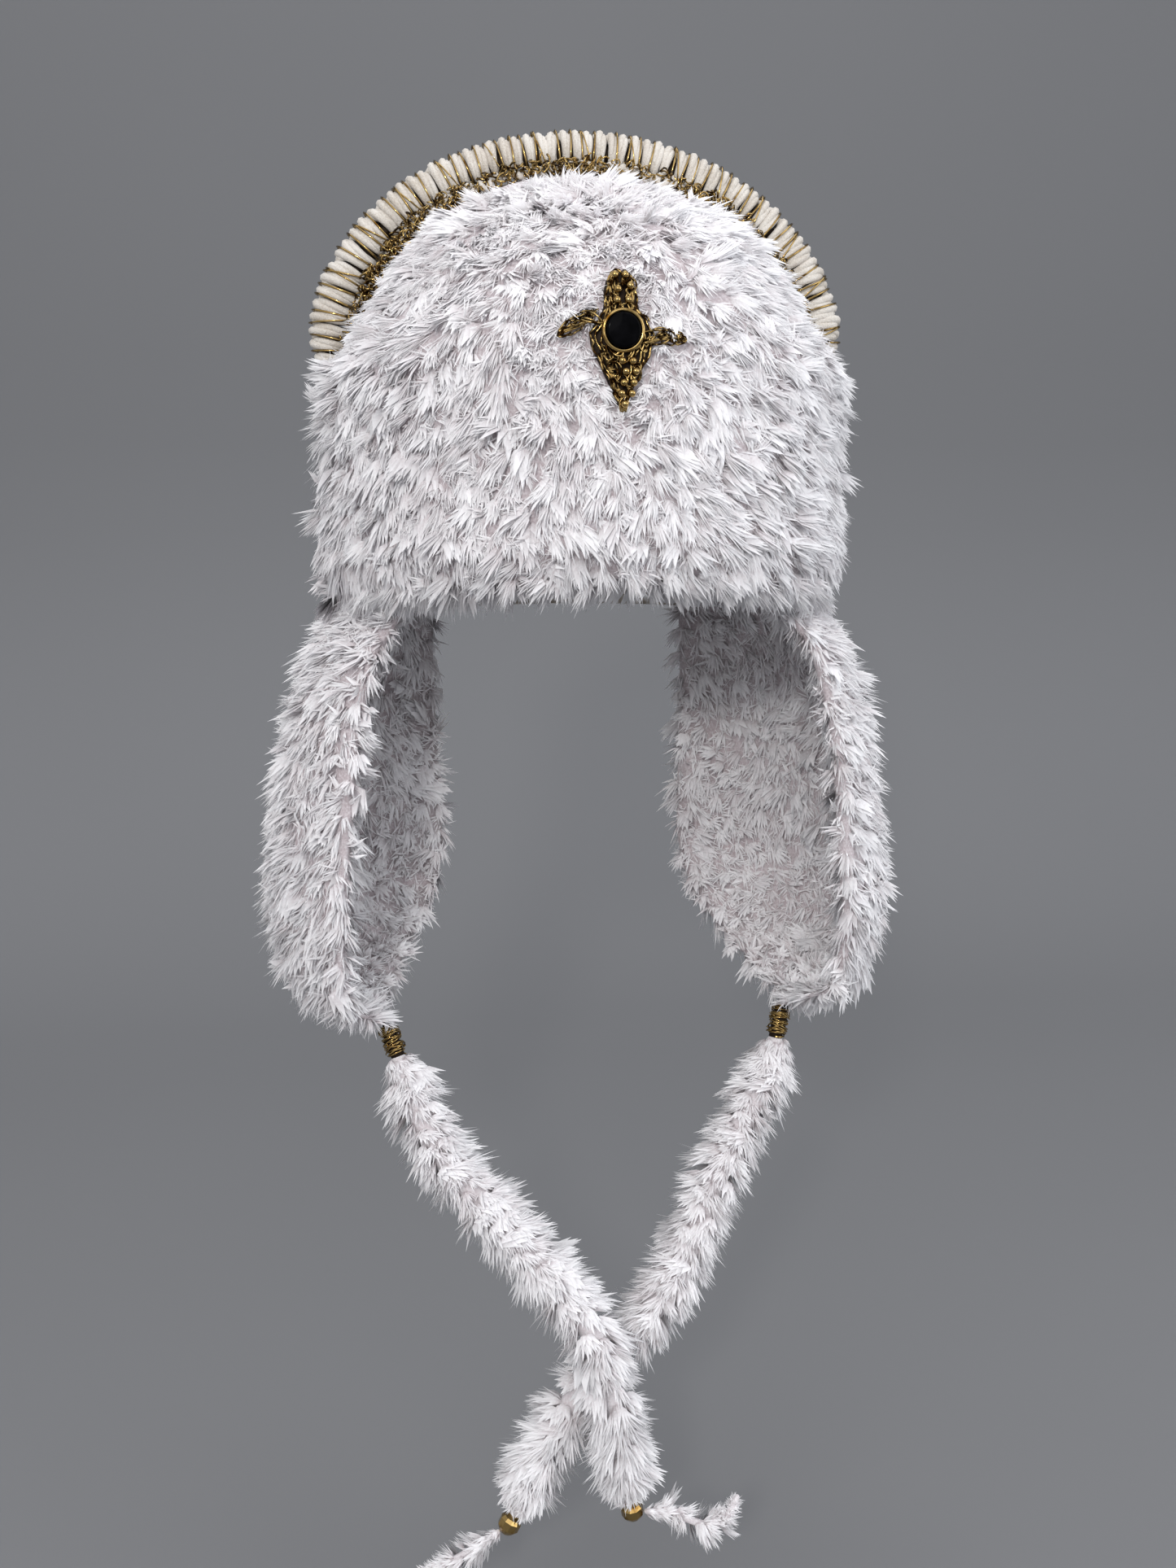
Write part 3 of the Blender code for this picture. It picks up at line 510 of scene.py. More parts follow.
def floor_material(colours):
    """Plain grey with faint clouds."""
    shader = Shader("floor", roughness=0.85)
    cloud = shader.noise(1.3)
    shade = [0.9 * value for value in colours.floor]
    shader.tint(cloud, shade, colours.floor)
    return shader.material


MATERIALS = {
    "fur": fur_material,
    "wool": wool_material,
    "knit": knit_material,
    "gold_thread": thread_material,
    "gold_in_painted_shade": gold_in_painted_shade_material,
    "gold": gold_material,
    "black_stone": stone_material,
    "floor": floor_material,
}


def material(name):
    """The material of this name, made on first use."""
    found = bpy.data.materials.get("hat_" + name)
    return found or MATERIALS[name](bpy.context.scene.hat_colours)


def unit(vectors):
    return vectors / np.maximum(np.linalg.norm(vectors, axis=-1, keepdims=True), 1e-12)


def dot(first, second):
    return np.sum(first * second, axis=-1, keepdims=True)


def columns(*values):
    return np.stack(values, axis=1)


def smooth_step(values):
    held = np.clip(values, 0.0, 1.0)
    return held * held * (3 - 2 * held)


def read_table(rows, places, column):
    """The values of a column at places along the first column."""
    return np.interp(places, [row[0] for row in rows], [row[column] for row in rows])


def smooth_route(points, spacing):
    """Points about one spacing apart on a smooth curve through the route's own points."""
    points = np.array(points)
    ends = np.vstack([2 * points[0] - points[1], points, 2 * points[-1] - points[-2]])
    route = []
    for before, start, end, after in zip(ends, ends[1:], ends[2:], ends[3:]):
        steps = max(1, round(float(np.linalg.norm(end - start)) / spacing))
        for share in np.arange(steps) / steps:
            bend = (
                2 * start
                + (end - before) * share
                + (2 * before - 5 * start + 4 * end - after) * share**2
                + (3 * start - before - 3 * end + after) * share**3
            )
            route.append(bend / 2)
    return np.array([*route, points[-1]])


def route_length(route):
    return float(np.linalg.norm(np.diff(route, axis=0), axis=1).sum())


def travelled(route):
    """How far along its route each point lies."""
    return np.concatenate([[0.0], np.cumsum(np.linalg.norm(np.diff(route, axis=0), axis=1))])


def read_route(places, travels, values):
    """What a route's points hold, read at places along it."""
    return columns(*[np.interp(places, travels, column) for column in values.T])


def crosses(points, triangles):
    """The normal of each triangle, as long as twice its area."""
    corners = points[triangles]
    return np.cross(corners[:, 1] - corners[:, 0], corners[:, 2] - corners[:, 0])


def add_object(name, data):
    made = bpy.data.objects.new(name, data)
    bpy.context.scene.collection.objects.link(made)
    return made


def coat(made, finish):
    """Gives an object this finish alone."""
    made.data.materials.clear()
    made.data.materials.append(material(finish))


def deselect_all():
    for chosen in list(bpy.context.selected_objects):
        chosen.select_set(False)


class Pile:
    """Points and triangles of many small shapes, gathered for one joined mesh."""

    def __init__(self):
        self.points = []
        self.normals = []
        self.triangles = []
        self.stored = {}
        self.count = 0

    def add(self, points, triangles, soft=None, **stored):
        """Adds a shape. Soft holds the normals that its points are shaded with."""
        self.points.append(points)
        self.normals.append(np.zeros_like(points) if soft is None else soft)
        self.triangles.append(triangles + self.count)
        self.count += len(points)
        for name, values in stored.items():
            self.stored.setdefault(name, []).append(np.broadcast_to(values, len(points)))

    def add_copies(self, shape, places, ways, scales=1.0):
        """Copies of a shape. Its own axes go along the three ways at each place."""
        points, triangles = shape
        scaled = ways * np.broadcast_to(scales, len(places))[:, None, None]
        copies = places[:, None] + np.einsum("pa,nab->npb", points, scaled)
        steps = np.arange(len(places))[:, None, None] * len(points)
        self.add(copies.reshape(-1, 3), (triangles[None] + steps).reshape(-1, 3))

    def make(self, name, finish, slot):
        """The object of the gathered shapes, riding on the hat."""
        points = np.concatenate(self.points).astype(np.float32)
        triangles = np.concatenate(self.triangles).astype(np.int32)
        mesh = bpy.data.meshes.new(name)
        mesh.vertices.add(len(points))
        mesh.vertices.foreach_set("co", points.ravel())
        mesh.loops.add(triangles.size)
        mesh.loops.foreach_set("vertex_index", triangles.ravel())
        mesh.polygons.add(len(triangles))
        mesh.polygons.foreach_set("loop_start", np.arange(0, triangles.size, 3, dtype=np.int32))
        mesh.update(calc_edges=True)
        mesh.validate()
        for key, values in self.stored.items():
            store = mesh.attributes.new(key, "FLOAT", "POINT")
            store.data.foreach_set("value", np.concatenate(values).astype(np.float32))
        mesh.shade_smooth()
        normals = np.concatenate(self.normals)
        if normals.any():
            faces = unit(crosses(points.astype(float), triangles))[:, None]
            soft = normals[triangles]
            turned = soft + faces * np.clip(SOFT_LIMIT - dot(soft, faces), 0, None)
            mesh.normals_split_custom_set((turned * (dot(soft, soft) > 0.5)).reshape(-1, 3))
        made = add_object(name, mesh)
        coat(made, finish)
        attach(made, "root")
        return made


def finish_modelled(made, name, finish):
    """Puts a piece modelled by hand in its place for good and gives it its finish."""
    deselect_all()
    made.select_set(True)
    bpy.context.view_layer.objects.active = made
    bpy.ops.object.transform_apply(location=True, rotation=True, scale=True)
    made.name = name
    made.data.name = name
    coat(made, finish)
    bpy.ops.object.shade_smooth_by_angle(angle=SMOOTH_ANGLE)
    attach(made, "root")
    return made


def thread(path, radii, sides):
    """Points and triangles of a closed round thread along a path."""
    path = np.asarray(path, float)
    radii = np.broadcast_to(radii, len(path))
    along = unit(np.gradient(path, axis=0))
    start = np.cross(along[0], (0.0, 0.0, 1.0))
    if np.linalg.norm(start) < 0.1:
        start = np.cross(along[0], (1.0, 0.0, 0.0))
    first = [unit(start)]
    for way in along[1:]:
        first.append(unit(first[-1] - way * np.dot(way, first[-1])))
    first = np.array(first)
    second = np.cross(along, first)
    turns = 2 * np.pi * np.arange(sides) / sides
    rings = (
        path[:, None]
        + radii[:, None, None] * np.cos(turns)[None, :, None] * first[:, None]
        + radii[:, None, None] * np.sin(turns)[None, :, None] * second[:, None]
    )
    ends = np.array([path[0] - along[0] * radii[0] * 0.6, path[-1] + along[-1] * radii[-1] * 0.6])
    points = np.vstack([rings.reshape(-1, 3), ends])
    here = np.arange(len(path) - 1)[:, None] * sides + np.arange(sides)[None]
    beside = np.arange(len(path) - 1)[:, None] * sides + (np.arange(sides)[None] + 1) % sides
    lower = np.stack([here, beside, beside + sides], axis=-1).reshape(-1, 3)
    upper = np.stack([here, beside + sides, here + sides], axis=-1).reshape(-1, 3)
    ring = np.arange(sides)
    following = (ring + 1) % sides
    last = (len(path) - 1) * sides
    near = np.stack([np.full(sides, len(points) - 2), following, ring], axis=-1)
    far = np.stack([np.full(sides, len(points) - 1), last + ring, last + following], axis=-1)
    return points, np.vstack([lower, upper, near, far])


def joined(shapes):
    """Several shapes as the points and triangles of one."""
    pile = Pile()
    for points, triangles in shapes:
        pile.add(points, triangles)
    return np.concatenate(pile.points), np.concatenate(pile.triangles)


def mirrored(path, radii, sides):
    """A thread and its mirror image, as one shape."""
    return joined([thread(np.array(path) * (turn, 1, 1), radii, sides) for turn in (-1, 1)])


def mesh_arrays(mesh):
    """Points and triangles of a mesh."""
    points = np.empty(len(mesh.vertices) * 3, np.float32)
    mesh.vertices.foreach_get("co", points)
    mesh.calc_loop_triangles()
    triangles = np.empty(len(mesh.loop_triangles) * 3, np.int32)
    mesh.loop_triangles.foreach_get("vertices", triangles)
    return points.reshape(-1, 3).astype(float), triangles.reshape(-1, 3)


def own_axes(node):
    """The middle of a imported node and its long, wide and thin way, with the half sizes along them."""
    points, _ = mesh_arrays(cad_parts[node].data)
    points = np.unique(points.round(6), axis=0)
    ways = np.linalg.svd(points - points.mean(0), full_matrices=False)[2]
    if np.linalg.det(ways) < 0:
        ways[2] = -ways[2]
    spans = points @ ways.T
    middle = (spans.min(0) + spans.max(0)) / 2 @ ways
    return middle, ways, np.ptp(spans, axis=0) / 2


def surface_of(*nodes):
    """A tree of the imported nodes' faces, to drop points on."""
    points = []
    triangles = []
    for node in nodes:
        more, faces = mesh_arrays(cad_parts[node].data)
        triangles += (faces + len(points)).tolist()
        points += more.tolist()
    return BVHTree.FromPolygons(points, triangles)


def backing(node):
    """A node with its locks of fur pressed flat, and the triangles that bore one."""
    bm = bmesh.new()
    bm.from_mesh(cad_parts[node].data)
    bmesh.ops.remove_doubles(bm, verts=bm.verts, dist=MERGE)
    bmesh.ops.triangulate(bm, faces=bm.faces)
    furred = set()
    for spot in bm.verts:
        around = [edge.other_vert(spot).co for edge in spot.link_edges]
        foot = sum(around, Vector()) / len(around)
        if len(around) == 4 and (spot.co - foot).length > LOCK_PROUD:
            spot.co = foot
            furred.update(face.index for face in spot.link_faces)
    bm.normal_update()
    bm.verts.index_update()
    points = np.array([spot.co[:] for spot in bm.verts])
    triangles = np.array([[spot.index for spot in face.verts] for face in bm.faces])
    marked = np.array([face.index in furred for face in bm.faces])
    bm.free()
    return points, triangles, marked


def faces_and_middles(points, triangles):
    """The normals and the middles of the triangles, and which of them face away from the hat's axis."""
    faces = unit(crosses(points, triangles))
    middles = points[triangles].mean(axis=1)
    return faces, middles, dot(faces, unit(middles * (1.0, 1.0, 0.0)))[:, 0] > -0.1


def scatter(points, triangles, chosen, spacing, seed):
    """Roots at least one spacing apart over the chosen triangles, with the smooth normals there."""
    dice = np.random.default_rng(seed)
    faces = crosses(points, triangles)
    at_points = np.zeros_like(points)
    for corner in range(3):
        np.add.at(at_points, triangles[:, corner], faces)
    areas = np.linalg.norm(faces, axis=1) * chosen
    tries = int(areas.sum() / 2 / spacing**2 * ROOT_TRIES)
    picked = dice.choice(len(triangles), tries, p=areas / areas.sum())
    weights = dice.dirichlet((1.0, 1.0, 1.0), tries)
    roots = np.einsum("ij,ijk->ik", weights, points[triangles[picked]])
    blended = np.einsum("ij,ijk->ik", weights, unit(at_points)[triangles[picked]])
    normals = unit(unit(blended) + unit(faces[picked]))
    cells = {}
    kept = []
    around = list(itertools.product((-1, 0, 1), repeat=3))
    for k, (root, normal) in enumerate(zip(roots, normals)):
        cell = tuple(int(value // spacing) for value in root)
        crowded = any(
            np.dot(normal, normals[other]) > 0 and np.sum((root - roots[other]) ** 2) < spacing**2
            for dx, dy, dz in around
            for other in cells.get((cell[0] + dx, cell[1] + dy, cell[2] + dz), ())
        )
        if not crowded:
            cells.setdefault(cell, []).append(k)
            kept.append(k)
    return roots[kept], normals[kept]


def swirl(places, size, seed):
    """A smooth random vector at each place, which changes over about this size."""
    dice = np.random.default_rng(seed)
    total = np.zeros_like(places)
    for _ in range(8):
        wave = unit(dice.normal(size=3)) * 2 * np.pi / size * dice.uniform(0.6, 1.6)
        total += np.sin(places @ wave + dice.uniform(0, 2 * np.pi))[:, None] * dice.normal(size=3)
    return total / 4


def grow_locks(pile, roots, normals, leans, lengths, lifts, style, seed):
    """Adds a lock of hairs at each root. Each hair is one closed blade, widest at its middle.

    The hairs are shaded mostly by the skin's normals, because real ones let light through.
    """
    dice = np.random.default_rng(seed)
    count = len(roots)
    hairs, width, spread, stray, fan = style
    lean = unit(leans - normals * dot(leans, normals))
    lifts = np.broadcast_to(lifts, count)[:, None]
    lengths = np.broadcast_to(lengths, count)[:, None, None]
    axis = unit(normals * lifts + lean * np.sqrt(1 - lifts**2))[:, None]
    side = unit(np.cross(axis, normals[:, None]))
    rise = np.cross(side, axis)
    turns = dice.uniform(0, 2 * np.pi, (count, hairs, 1))
    away = np.sqrt(dice.uniform(0, 1, (count, hairs, 1)))
    across = side * np.cos(turns) * away + rise * np.sin(turns) * away * 0.6
    reach = lengths * dice.uniform(0.6, 1.06, (count, hairs, 1))
    sideways = side * dice.normal(0, 0.12, (count, 1, 1))
    bend = (sideways + rise * dice.uniform(0.02, 0.12, (count, 1, 1))) * reach
    strays = dice.normal(0, 1, (count, hairs, 3)) * stray * reach
    start = roots[:, None] - normals[:, None] * width * 1.5 + across * spread * 0.45
    middle = start + axis * reach * dice.uniform(0.35, 0.5, (count, hairs, 1)) + across * spread * 0.5
    middle = middle + bend + strays * 0.35
    tip = start + axis * reach + across * spread * fan - bend * 0.4 + strays
    facing = normals[:, None] + dice.normal(0, 0.45, (count, hairs, 3))
    flat = unit(np.cross(tip - start, facing))
    half = width / 2 * dice.uniform(0.7, 1.3, (count, hairs, 1))
    blades = np.stack([start, middle - flat * half, middle + flat * half, tip], axis=2)
    volume = dot(np.cross(blades[..., 1, :] - start, blades[..., 2, :] - start), tip - start)
    turned = (volume < 0)[..., None]
    blades[:, :, 1:3] = np.where(turned, blades[:, :, 2:0:-1], blades[:, :, 1:3])
    soft = normals[:, None] + across * 0.5 + dice.normal(0, 0.12, (count, hairs, 3))
    soft = np.repeat(unit(soft).reshape(-1, 3), 4, axis=0)
    faces = np.array([[0, 2, 1], [0, 1, 3], [1, 2, 3], [2, 0, 3]])
    steps = np.arange(count * hairs)[:, None, None] * 4
    # How far along its hair each point lies; the fur's colour paints shade from it, darkest at the roots
    tips = np.tile([0.0, 0.55, 0.55, 1.0], count * hairs)
    tufts = np.repeat(dice.uniform(0.0, 1.0, count), hairs * 4)
    pile.add(blades.reshape(-1, 3), (faces + steps).reshape(-1, 3), soft=soft, tip=tips, tuft=tufts)


class Ridge:
    """The centre line of the roll of ribs, from its right end over the top to its left end."""

    def __init__(self, sizes):
        low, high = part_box("trim_ridge")
        crown_low, crown_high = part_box("crown")
        self.reach = sizes.rib_reach
        self.plane = (low.y + high.y) / 2
        self.depth = sizes.rib_depth
        turns = np.linspace(0, np.pi, 721)
        self.growths = 1 + SIDE_GROWTH * np.cos(turns) ** 2
        clear = SEAT_GAP + self.reach * self.growths * FLAT_SHARE
        narrowed = np.sqrt(1 - (self.plane / (crown_low.y - clear)) ** 2)
        across = (crown_high.x + clear) * narrowed
        up = (crown_high.z + WIDEST_DROP + clear) * narrowed
        level = np.full(len(turns), self.plane)
        self.line = columns(across * np.cos(turns), level, up * np.sin(turns) - WIDEST_DROP)
        self.travel = travelled(self.line)
        self.length = float(self.travel[-1])

    def at(self, travels):
        """Centres, and for each the ways along the ridge, towards the front and outwards."""
        centres = read_route(travels, self.travel, self.line)
        along = unit(read_route(travels, self.travel, np.gradient(self.line, axis=0)))
        front = np.broadcast_to((0.0, -1.0, 0.0), along.shape)
        return centres, columns(along, front, np.cross(along, front))

    def scale(self, travels):
        """The ribs' own size: less at the ends, more at the sides than on top."""
        from_end = np.clip(np.minimum(travels, self.length - travels) / RIDGE_TAPER, 0, 1)
        taper = RIDGE_END_SHARE + (1 - RIDGE_END_SHARE) * np.sin(np.pi / 2 * from_end)
        return taper * np.interp(travels, self.travel, self.growths)


class HatOperator:
    """What all of the hat's operators share."""

    bl_options = {"REGISTER", "UNDO"}

    @property
    def sizes(self):
        return bpy.context.scene.hat_sizes


class HAT_OT_make_stage(HatOperator, bpy.types.Operator):
    """Sets up the camera, the floor and soft studio lights"""

    bl_idname = "hat.make_stage"
    bl_label = "Stage"

    def add_camera(self):
        lens = bpy.data.cameras.new("camera")
        lens.sensor_fit = "VERTICAL"
        lens.sensor_height = SENSOR
        lens.lens = SENSOR * FOCAL_PX / PHOTO_HEIGHT_PX
        camera = add_object("camera", lens)
        camera.location = CAMERA_PLACE
        camera.rotation_euler = (math.pi / 2 - CAMERA_PITCH, 0, -CAMERA_TURN)
        bpy.context.scene.camera = camera

    def add_sweep(self):
        """A floor that rounds up into a wall behind the hat."""
        deselect_all()
        bpy.ops.mesh.primitive_grid_add(x_subdivisions=2, y_subdivisions=90, size=FLOOR_SIZE)
        sweep = bpy.context.object
        floor_height = CAD_BOX[0].z - FLOOR_DROP
        for spot in sweep.data.vertices:
            beyond = spot.co.y - WALL_START
            angle = min(max(beyond / WALL_ROUND, 0.0), math.pi / 2)
            rest = beyond - angle * WALL_ROUND
            spot.co.z = floor_height + WALL_ROUND * (1 - math.cos(angle)) + (rest if beyond > 0 else 0.0)
            spot.co.y = min(spot.co.y, WALL_START) + WALL_ROUND * math.sin(angle)
        sweep.name = "floor"
        sweep.data.shade_smooth()
        coat(sweep, "floor")

    def add_light(self, name, place, size, power, colour):
        lamp = bpy.data.lights.new(name, "AREA")
        lamp.shape = "DISK"
        lamp.size = size
        lamp.energy = power
        lamp.color = colour
        light = add_object(name, lamp)
        light.location = place
        light.rotation_euler = (Vector(AIM) - Vector(place)).to_track_quat("-Z", "Y").to_euler()

    def add_sky(self):
        """Soft light from above that falls off towards the floor, so that metal has something to reflect."""
        world = bpy.data.worlds.new("studio")
        world.use_nodes = True
        nodes = world.node_tree.nodes
        link = world.node_tree.links.new
        place = nodes.new("ShaderNodeTexCoord")
        parts = nodes.new("ShaderNodeSeparateXYZ")
        ramp = nodes.new("ShaderNodeMapRange")
        link(place.outputs["Generated"], parts.inputs[0])
        link(parts.outputs["Z"], ramp.inputs["Value"])
        for socket, value in SKY_RISE.items():
            ramp.inputs[socket].default_value = value
        sky = nodes["Background"]
        sky.inputs["Color"].default_value = SKY_COLOUR
        link(ramp.outputs["Result"], sky.inputs["Strength"])
        bpy.context.scene.world = world

    def execute(self, context):
        self.add_camera()
        self.add_sweep()
        context.scene.view_settings.view_transform = "Standard"
        for lamp in LAMPS:
            self.add_light(*lamp)
        self.add_sky()
        return {"FINISHED"}


class HAT_OT_make_ties(HatOperator, bpy.types.Operator):
    """Makes the furry ties, their tails of yarn and the gold thread wound round their necks"""

    bl_idname = "hat.make_ties"
    bl_label = "Ties"

    def make_core(self, name, route, thickness):
        pile = Pile()
        shares = np.ones(len(route))
        shares[[0, -1]] = 0.6
        points, triangles = thread(route, thickness / 2 * shares, 12)
        # The cord under the fur is coloured part way towards the roots' painted shade
        pile.add(points, triangles, tip=0.35, tuft=0.5)
        return pile.make(name, "fur", "fur")

    def make_fur(self, name, route, core, spacing, length, hairs, spread, seed):
        """Locks in a spiral round a cord, leaning towards its far end."""
        dice = np.random.default_rng(seed)
        total = route_length(route)
        count = int(math.pi * core * total / spacing**2)
        travels = travelled(route)
        places = np.sort(dice.uniform(0.0, total - 0.002, count))
        centres = read_route(places, travels, route)
        along = unit(read_route(places, travels, np.gradient(route, axis=0)))
        turns = LOCK_TURN * np.arange(count)
        first = unit(np.cross(along, (0.0, 1.0, 0.0)))
        second = np.cross(along, first)
        out = first * np.cos(turns)[:, None] + second * np.sin(turns)[:, None]
        leans = along + swirl(centres, 0.02, seed) * 0.5
        near_end = np.clip(np.minimum(0.5 + places / CORD_END, (total - places) / CORD_END), 0.3, 1.0)
        lengths = length * near_end * dice.uniform(0.8, 1.2, count)
        lifts = dice.uniform(0.72, 0.96, count) * np.clip(0.4 + places / 0.015, 0, 1)
        style = (hairs, self.sizes.hair_width * 1.2, spread, 0.10, 2.0)
        pile = Pile()
        grow_locks(pile, centres + out * core / 2, out, leans, lengths, lifts, style, seed)
        return pile.make(name, "fur", "fur")

    def make_wrap(self, side):
        """Gold thread wound many times round the neck of a tie."""
        node = "gold_wrap_" + side
        middle, ways, halves = own_axes(node)
        width = self.sizes.thread_width
        radius = float(halves[1]) - width
        dice = np.random.default_rng(31)

        def turned(shapes):
            points, triangles = joined(shapes)
            pile = Pile()
            pile.add(points @ ways + middle, triangles)
            return pile

        # A core in painted shade under the coils
        rod = thread(np.linspace(-1, 1, 4)[:, None] * (halves[0], 0, 0), radius * 0.86, 10)
        core = turned([rod]).make("wrap_core_" + side, "gold_in_painted_shade", "gold_thread")
        coils = []
        for layer, count in WRAP_LAYERS:
            turns = np.linspace(0, 2 * np.pi * count, count * 10)
            share = np.linspace(-0.94, 0.94, len(turns)) * (1 - 0.1 * layer)
            wobble = np.interp(turns, np.linspace(0, turns[-1], 14), dice.uniform(-1, 1, 14))
            reach = radius + width * (layer + 0.35 * wobble)
            slant = 0.0012 * layer * np.sin(turns + layer * 7)
            path = columns(share * halves[0] + slant, reach * np.cos(turns), reach * np.sin(turns))
            coils.append(thread(path, width * 0.62, 5))
        for _ in range(WRAP_LOOPS):
            turns = np.linspace(0, dice.uniform(2.0, 5.0), 12) + dice.uniform(0, 2 * np.pi)
            reach = radius + width * dice.uniform(0.8, 1.9)
            tilt = dice.uniform(-0.8, 0.8) * radius
            along = dice.uniform(-0.6, 0.6) * halves[0] + tilt * np.sin(turns)
            along = np.clip(along, -0.98 * halves[0], 0.98 * halves[0])
            path = columns(along, reach * np.cos(turns), reach * np.sin(turns))
            coils.append(thread(path, width * 0.55, 5))
        wrap = turned(coils).make("wound_thread_" + side, "gold", "gold_thread")
        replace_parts(wrap, node)
        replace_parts(core, node)
        return [wrap, core]

    def execute(self, context):
        sizes = self.sizes
        for side in SIDES:
            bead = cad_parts["end_bead_" + side]
            coat(bead, "gold")
            route = smooth_route(TIE_ROUTES[side], 0.006)
            core = self.make_core("tie_core_" + side, route, sizes.tie_core)
            looks = (sizes.tie_spacing, sizes.tie_fur_length, *TIE_LOCKS)
            fur = self.make_fur("tie_fur_" + side, route, sizes.tie_core, *looks, 5)
            wrap = self.make_wrap(side)
            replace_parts(core, "tie_" + side)
            [fur, bead] + wrap
            route = smooth_route(TAIL_ROUTES[side], 0.003)
            tail = self.make_core("tail_core_" + side, route, sizes.tail_core)
            wisps = self.make_fur("tail_fur_" + side, route, sizes.tail_core, *TAIL_FUZZ, *TAIL_LOCKS, 9)
            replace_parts(tail, "tail_" + side)
        return {"FINISHED"}


class HAT_OT_make_front(HatOperator, bpy.types.Operator):
    """Makes the tufted fur of the turned-up front"""

    bl_idname = "hat.make_front"
    bl_label = "Fur front"

    def leans(self, roots, ridge):
        """Up towards the ridge close to it, down lower on, and a little sideways at the sides.

        With them come each root's distance from the ridge and the pull that the ridge has there.
        """
        nearest = np.array([np.linalg.norm(ridge.line - root, axis=1).argmin() for root in roots])
        towards = ridge.line[nearest] - roots
        distance = np.linalg.norm(towards, axis=1)
        pull = smooth_step((LEAN_REACH - distance) / LEAN_BLEND)
        up = pull[:, None]
        down = np.zeros_like(roots)
        down[:, 2] = -1.0
        down[:, 0] = 0.25 * roots[:, 0] / 0.08 + 0.7 * smooth_step(roots[:, 0] / 0.08)
        leans = down * (1 - up) + unit(towards) * up + swirl(roots, 0.03, 3) * (0.7 - 0.4 * up)
        return leans, distance, pull

    def clear_of_brooch(self, roots):
        """The share of the full length that hairs have near the brooch, and 0 under it."""
        shares = np.ones(len(roots))
        low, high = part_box("brooch_plate")
        tall = np.clip((high.z - roots[:, 2]) / (high.z - low.z), 0, 1)
        half = (high.x - low.x) / 2 * read_table(BROOCH_ROWS, tall, 1)
        aside = np.abs(roots[:, 0] - (low.x + high.x) / 2) - half
        beyond = np.maximum(low.z - roots[:, 2], roots[:, 2] - high.z)
        gaps = [np.maximum(aside, beyond)]
        for side in SIDES:
            middle, ways, halves = own_axes("brooch_leaf_" + side)
            spans = np.abs((roots - middle) @ ways.T)
            gaps.append(np.hypot(np.maximum(spans[:, 0] - halves[0], 0), spans[:, 1]) - halves[1] * 0.5)
        away = np.min(gaps, axis=0)
        ahead = roots[:, 1] < low.y * 0.5
        shares[ahead] = np.where(away[ahead] < 0, 0, 0.5 + 0.5 * np.clip(away[ahead] / BROOCH_NEST, 0, 1))
        return shares

    def layer(self, points, triangles, chosen, ridge, number):
        """Roots, normals, leans, lengths and lifts of one layer of locks, and their style."""
        sizes = self.sizes
        spacing, length, hairs, spread, stray, fan = LAYERS[number]
        roots, normals = scatter(points, triangles, chosen, sizes.fur_spacing * spacing, 1 + number)
        leans, distance, pull = self.leans(roots, ridge)
        dice = np.random.default_rng(20 + number)
        lengths = sizes.fur_length * length * dice.uniform(0.8, 1.15, len(roots))
        nest = self.clear_of_brooch(roots)
        clear = FOOT_CLEAR + TOP_CLEAR * smooth_step(1 + roots[:, 2] / 0.03)
        clear = clear * (0.3 + 0.7 * smooth_step((roots[:, 2] + WIDEST_DROP + 0.006) / 0.010))
        lengths = np.minimum(lengths * nest, (distance - clear) / 0.95)
        lifts = np.clip(0.42 + 0.17 * dice.normal(size=len(roots)) + 1.4 * pull * (1 - pull), 0.15, 0.9)
        low = np.clip((roots[:, 2] - points[:, 2].min()) / FRINGE_HEIGHT, 0, 1)
        lengths = lengths * (FRINGE_GROWTH + (1 - FRINGE_GROWTH) * low)
        lifts = lifts * (0.6 + 0.4 * low) * (0.25 + 0.75 * smooth_step((distance - clear) / 0.018))
        lifts = np.minimum(lifts + (1 - nest) * 0.7, 0.92)
        under = normals[:, 2] < -0.5
        lifts[under] = 0.95
        lengths[under] = np.minimum(lengths[under], UNDER_LENGTH)
        leans = leans + dice.normal(0, 0.7, leans.shape) * (abs(1 - number) + 2 * (1 - nest[:, None]))
        keep = (lengths > LEAST_LENGTH) & ((number < 2) | (nest < 1))
        found = [values[keep] for values in (roots, normals, leans, lengths, lifts)]
        return found, (hairs, sizes.hair_width, spread, stray, fan)

    def execute(self, context):
        ridge = Ridge(self.sizes)
        points, triangles, furred = backing("front_flap")
        faces, middles, outwards = faces_and_middles(points, triangles)
        rear = middles[:, 1] > points[:, 1].max() - REAR_STRIP
        under_ridge = (faces[:, 1] > 0.5) & rear & (middles[:, 2] < -WIDEST_DROP)
        chosen = furred | outwards | (faces[:, 2] < -0.6) | under_ridge
        piles = {"front_fur_low": Pile(), "front_fur_high": Pile()}
        # The backing under the tufts is coloured near the roots' painted shade
        piles["front_fur_low"].add(points, triangles, tip=0.1, tuft=0.3)
        for number in range(len(LAYERS)):
            found, style = self.layer(points, triangles, chosen, ridge, number)
            for name, pile in piles.items():
                part = (found[0][:, 2] < SPLIT_HEIGHT) == (name == "front_fur_low")
                grow_locks(pile, *[values[part] for values in found], style, 30 + number)
        for name, pile in piles.items():
            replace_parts(pile.make(name, "fur", "fur"), "front_flap")
        return {"FINISHED"}


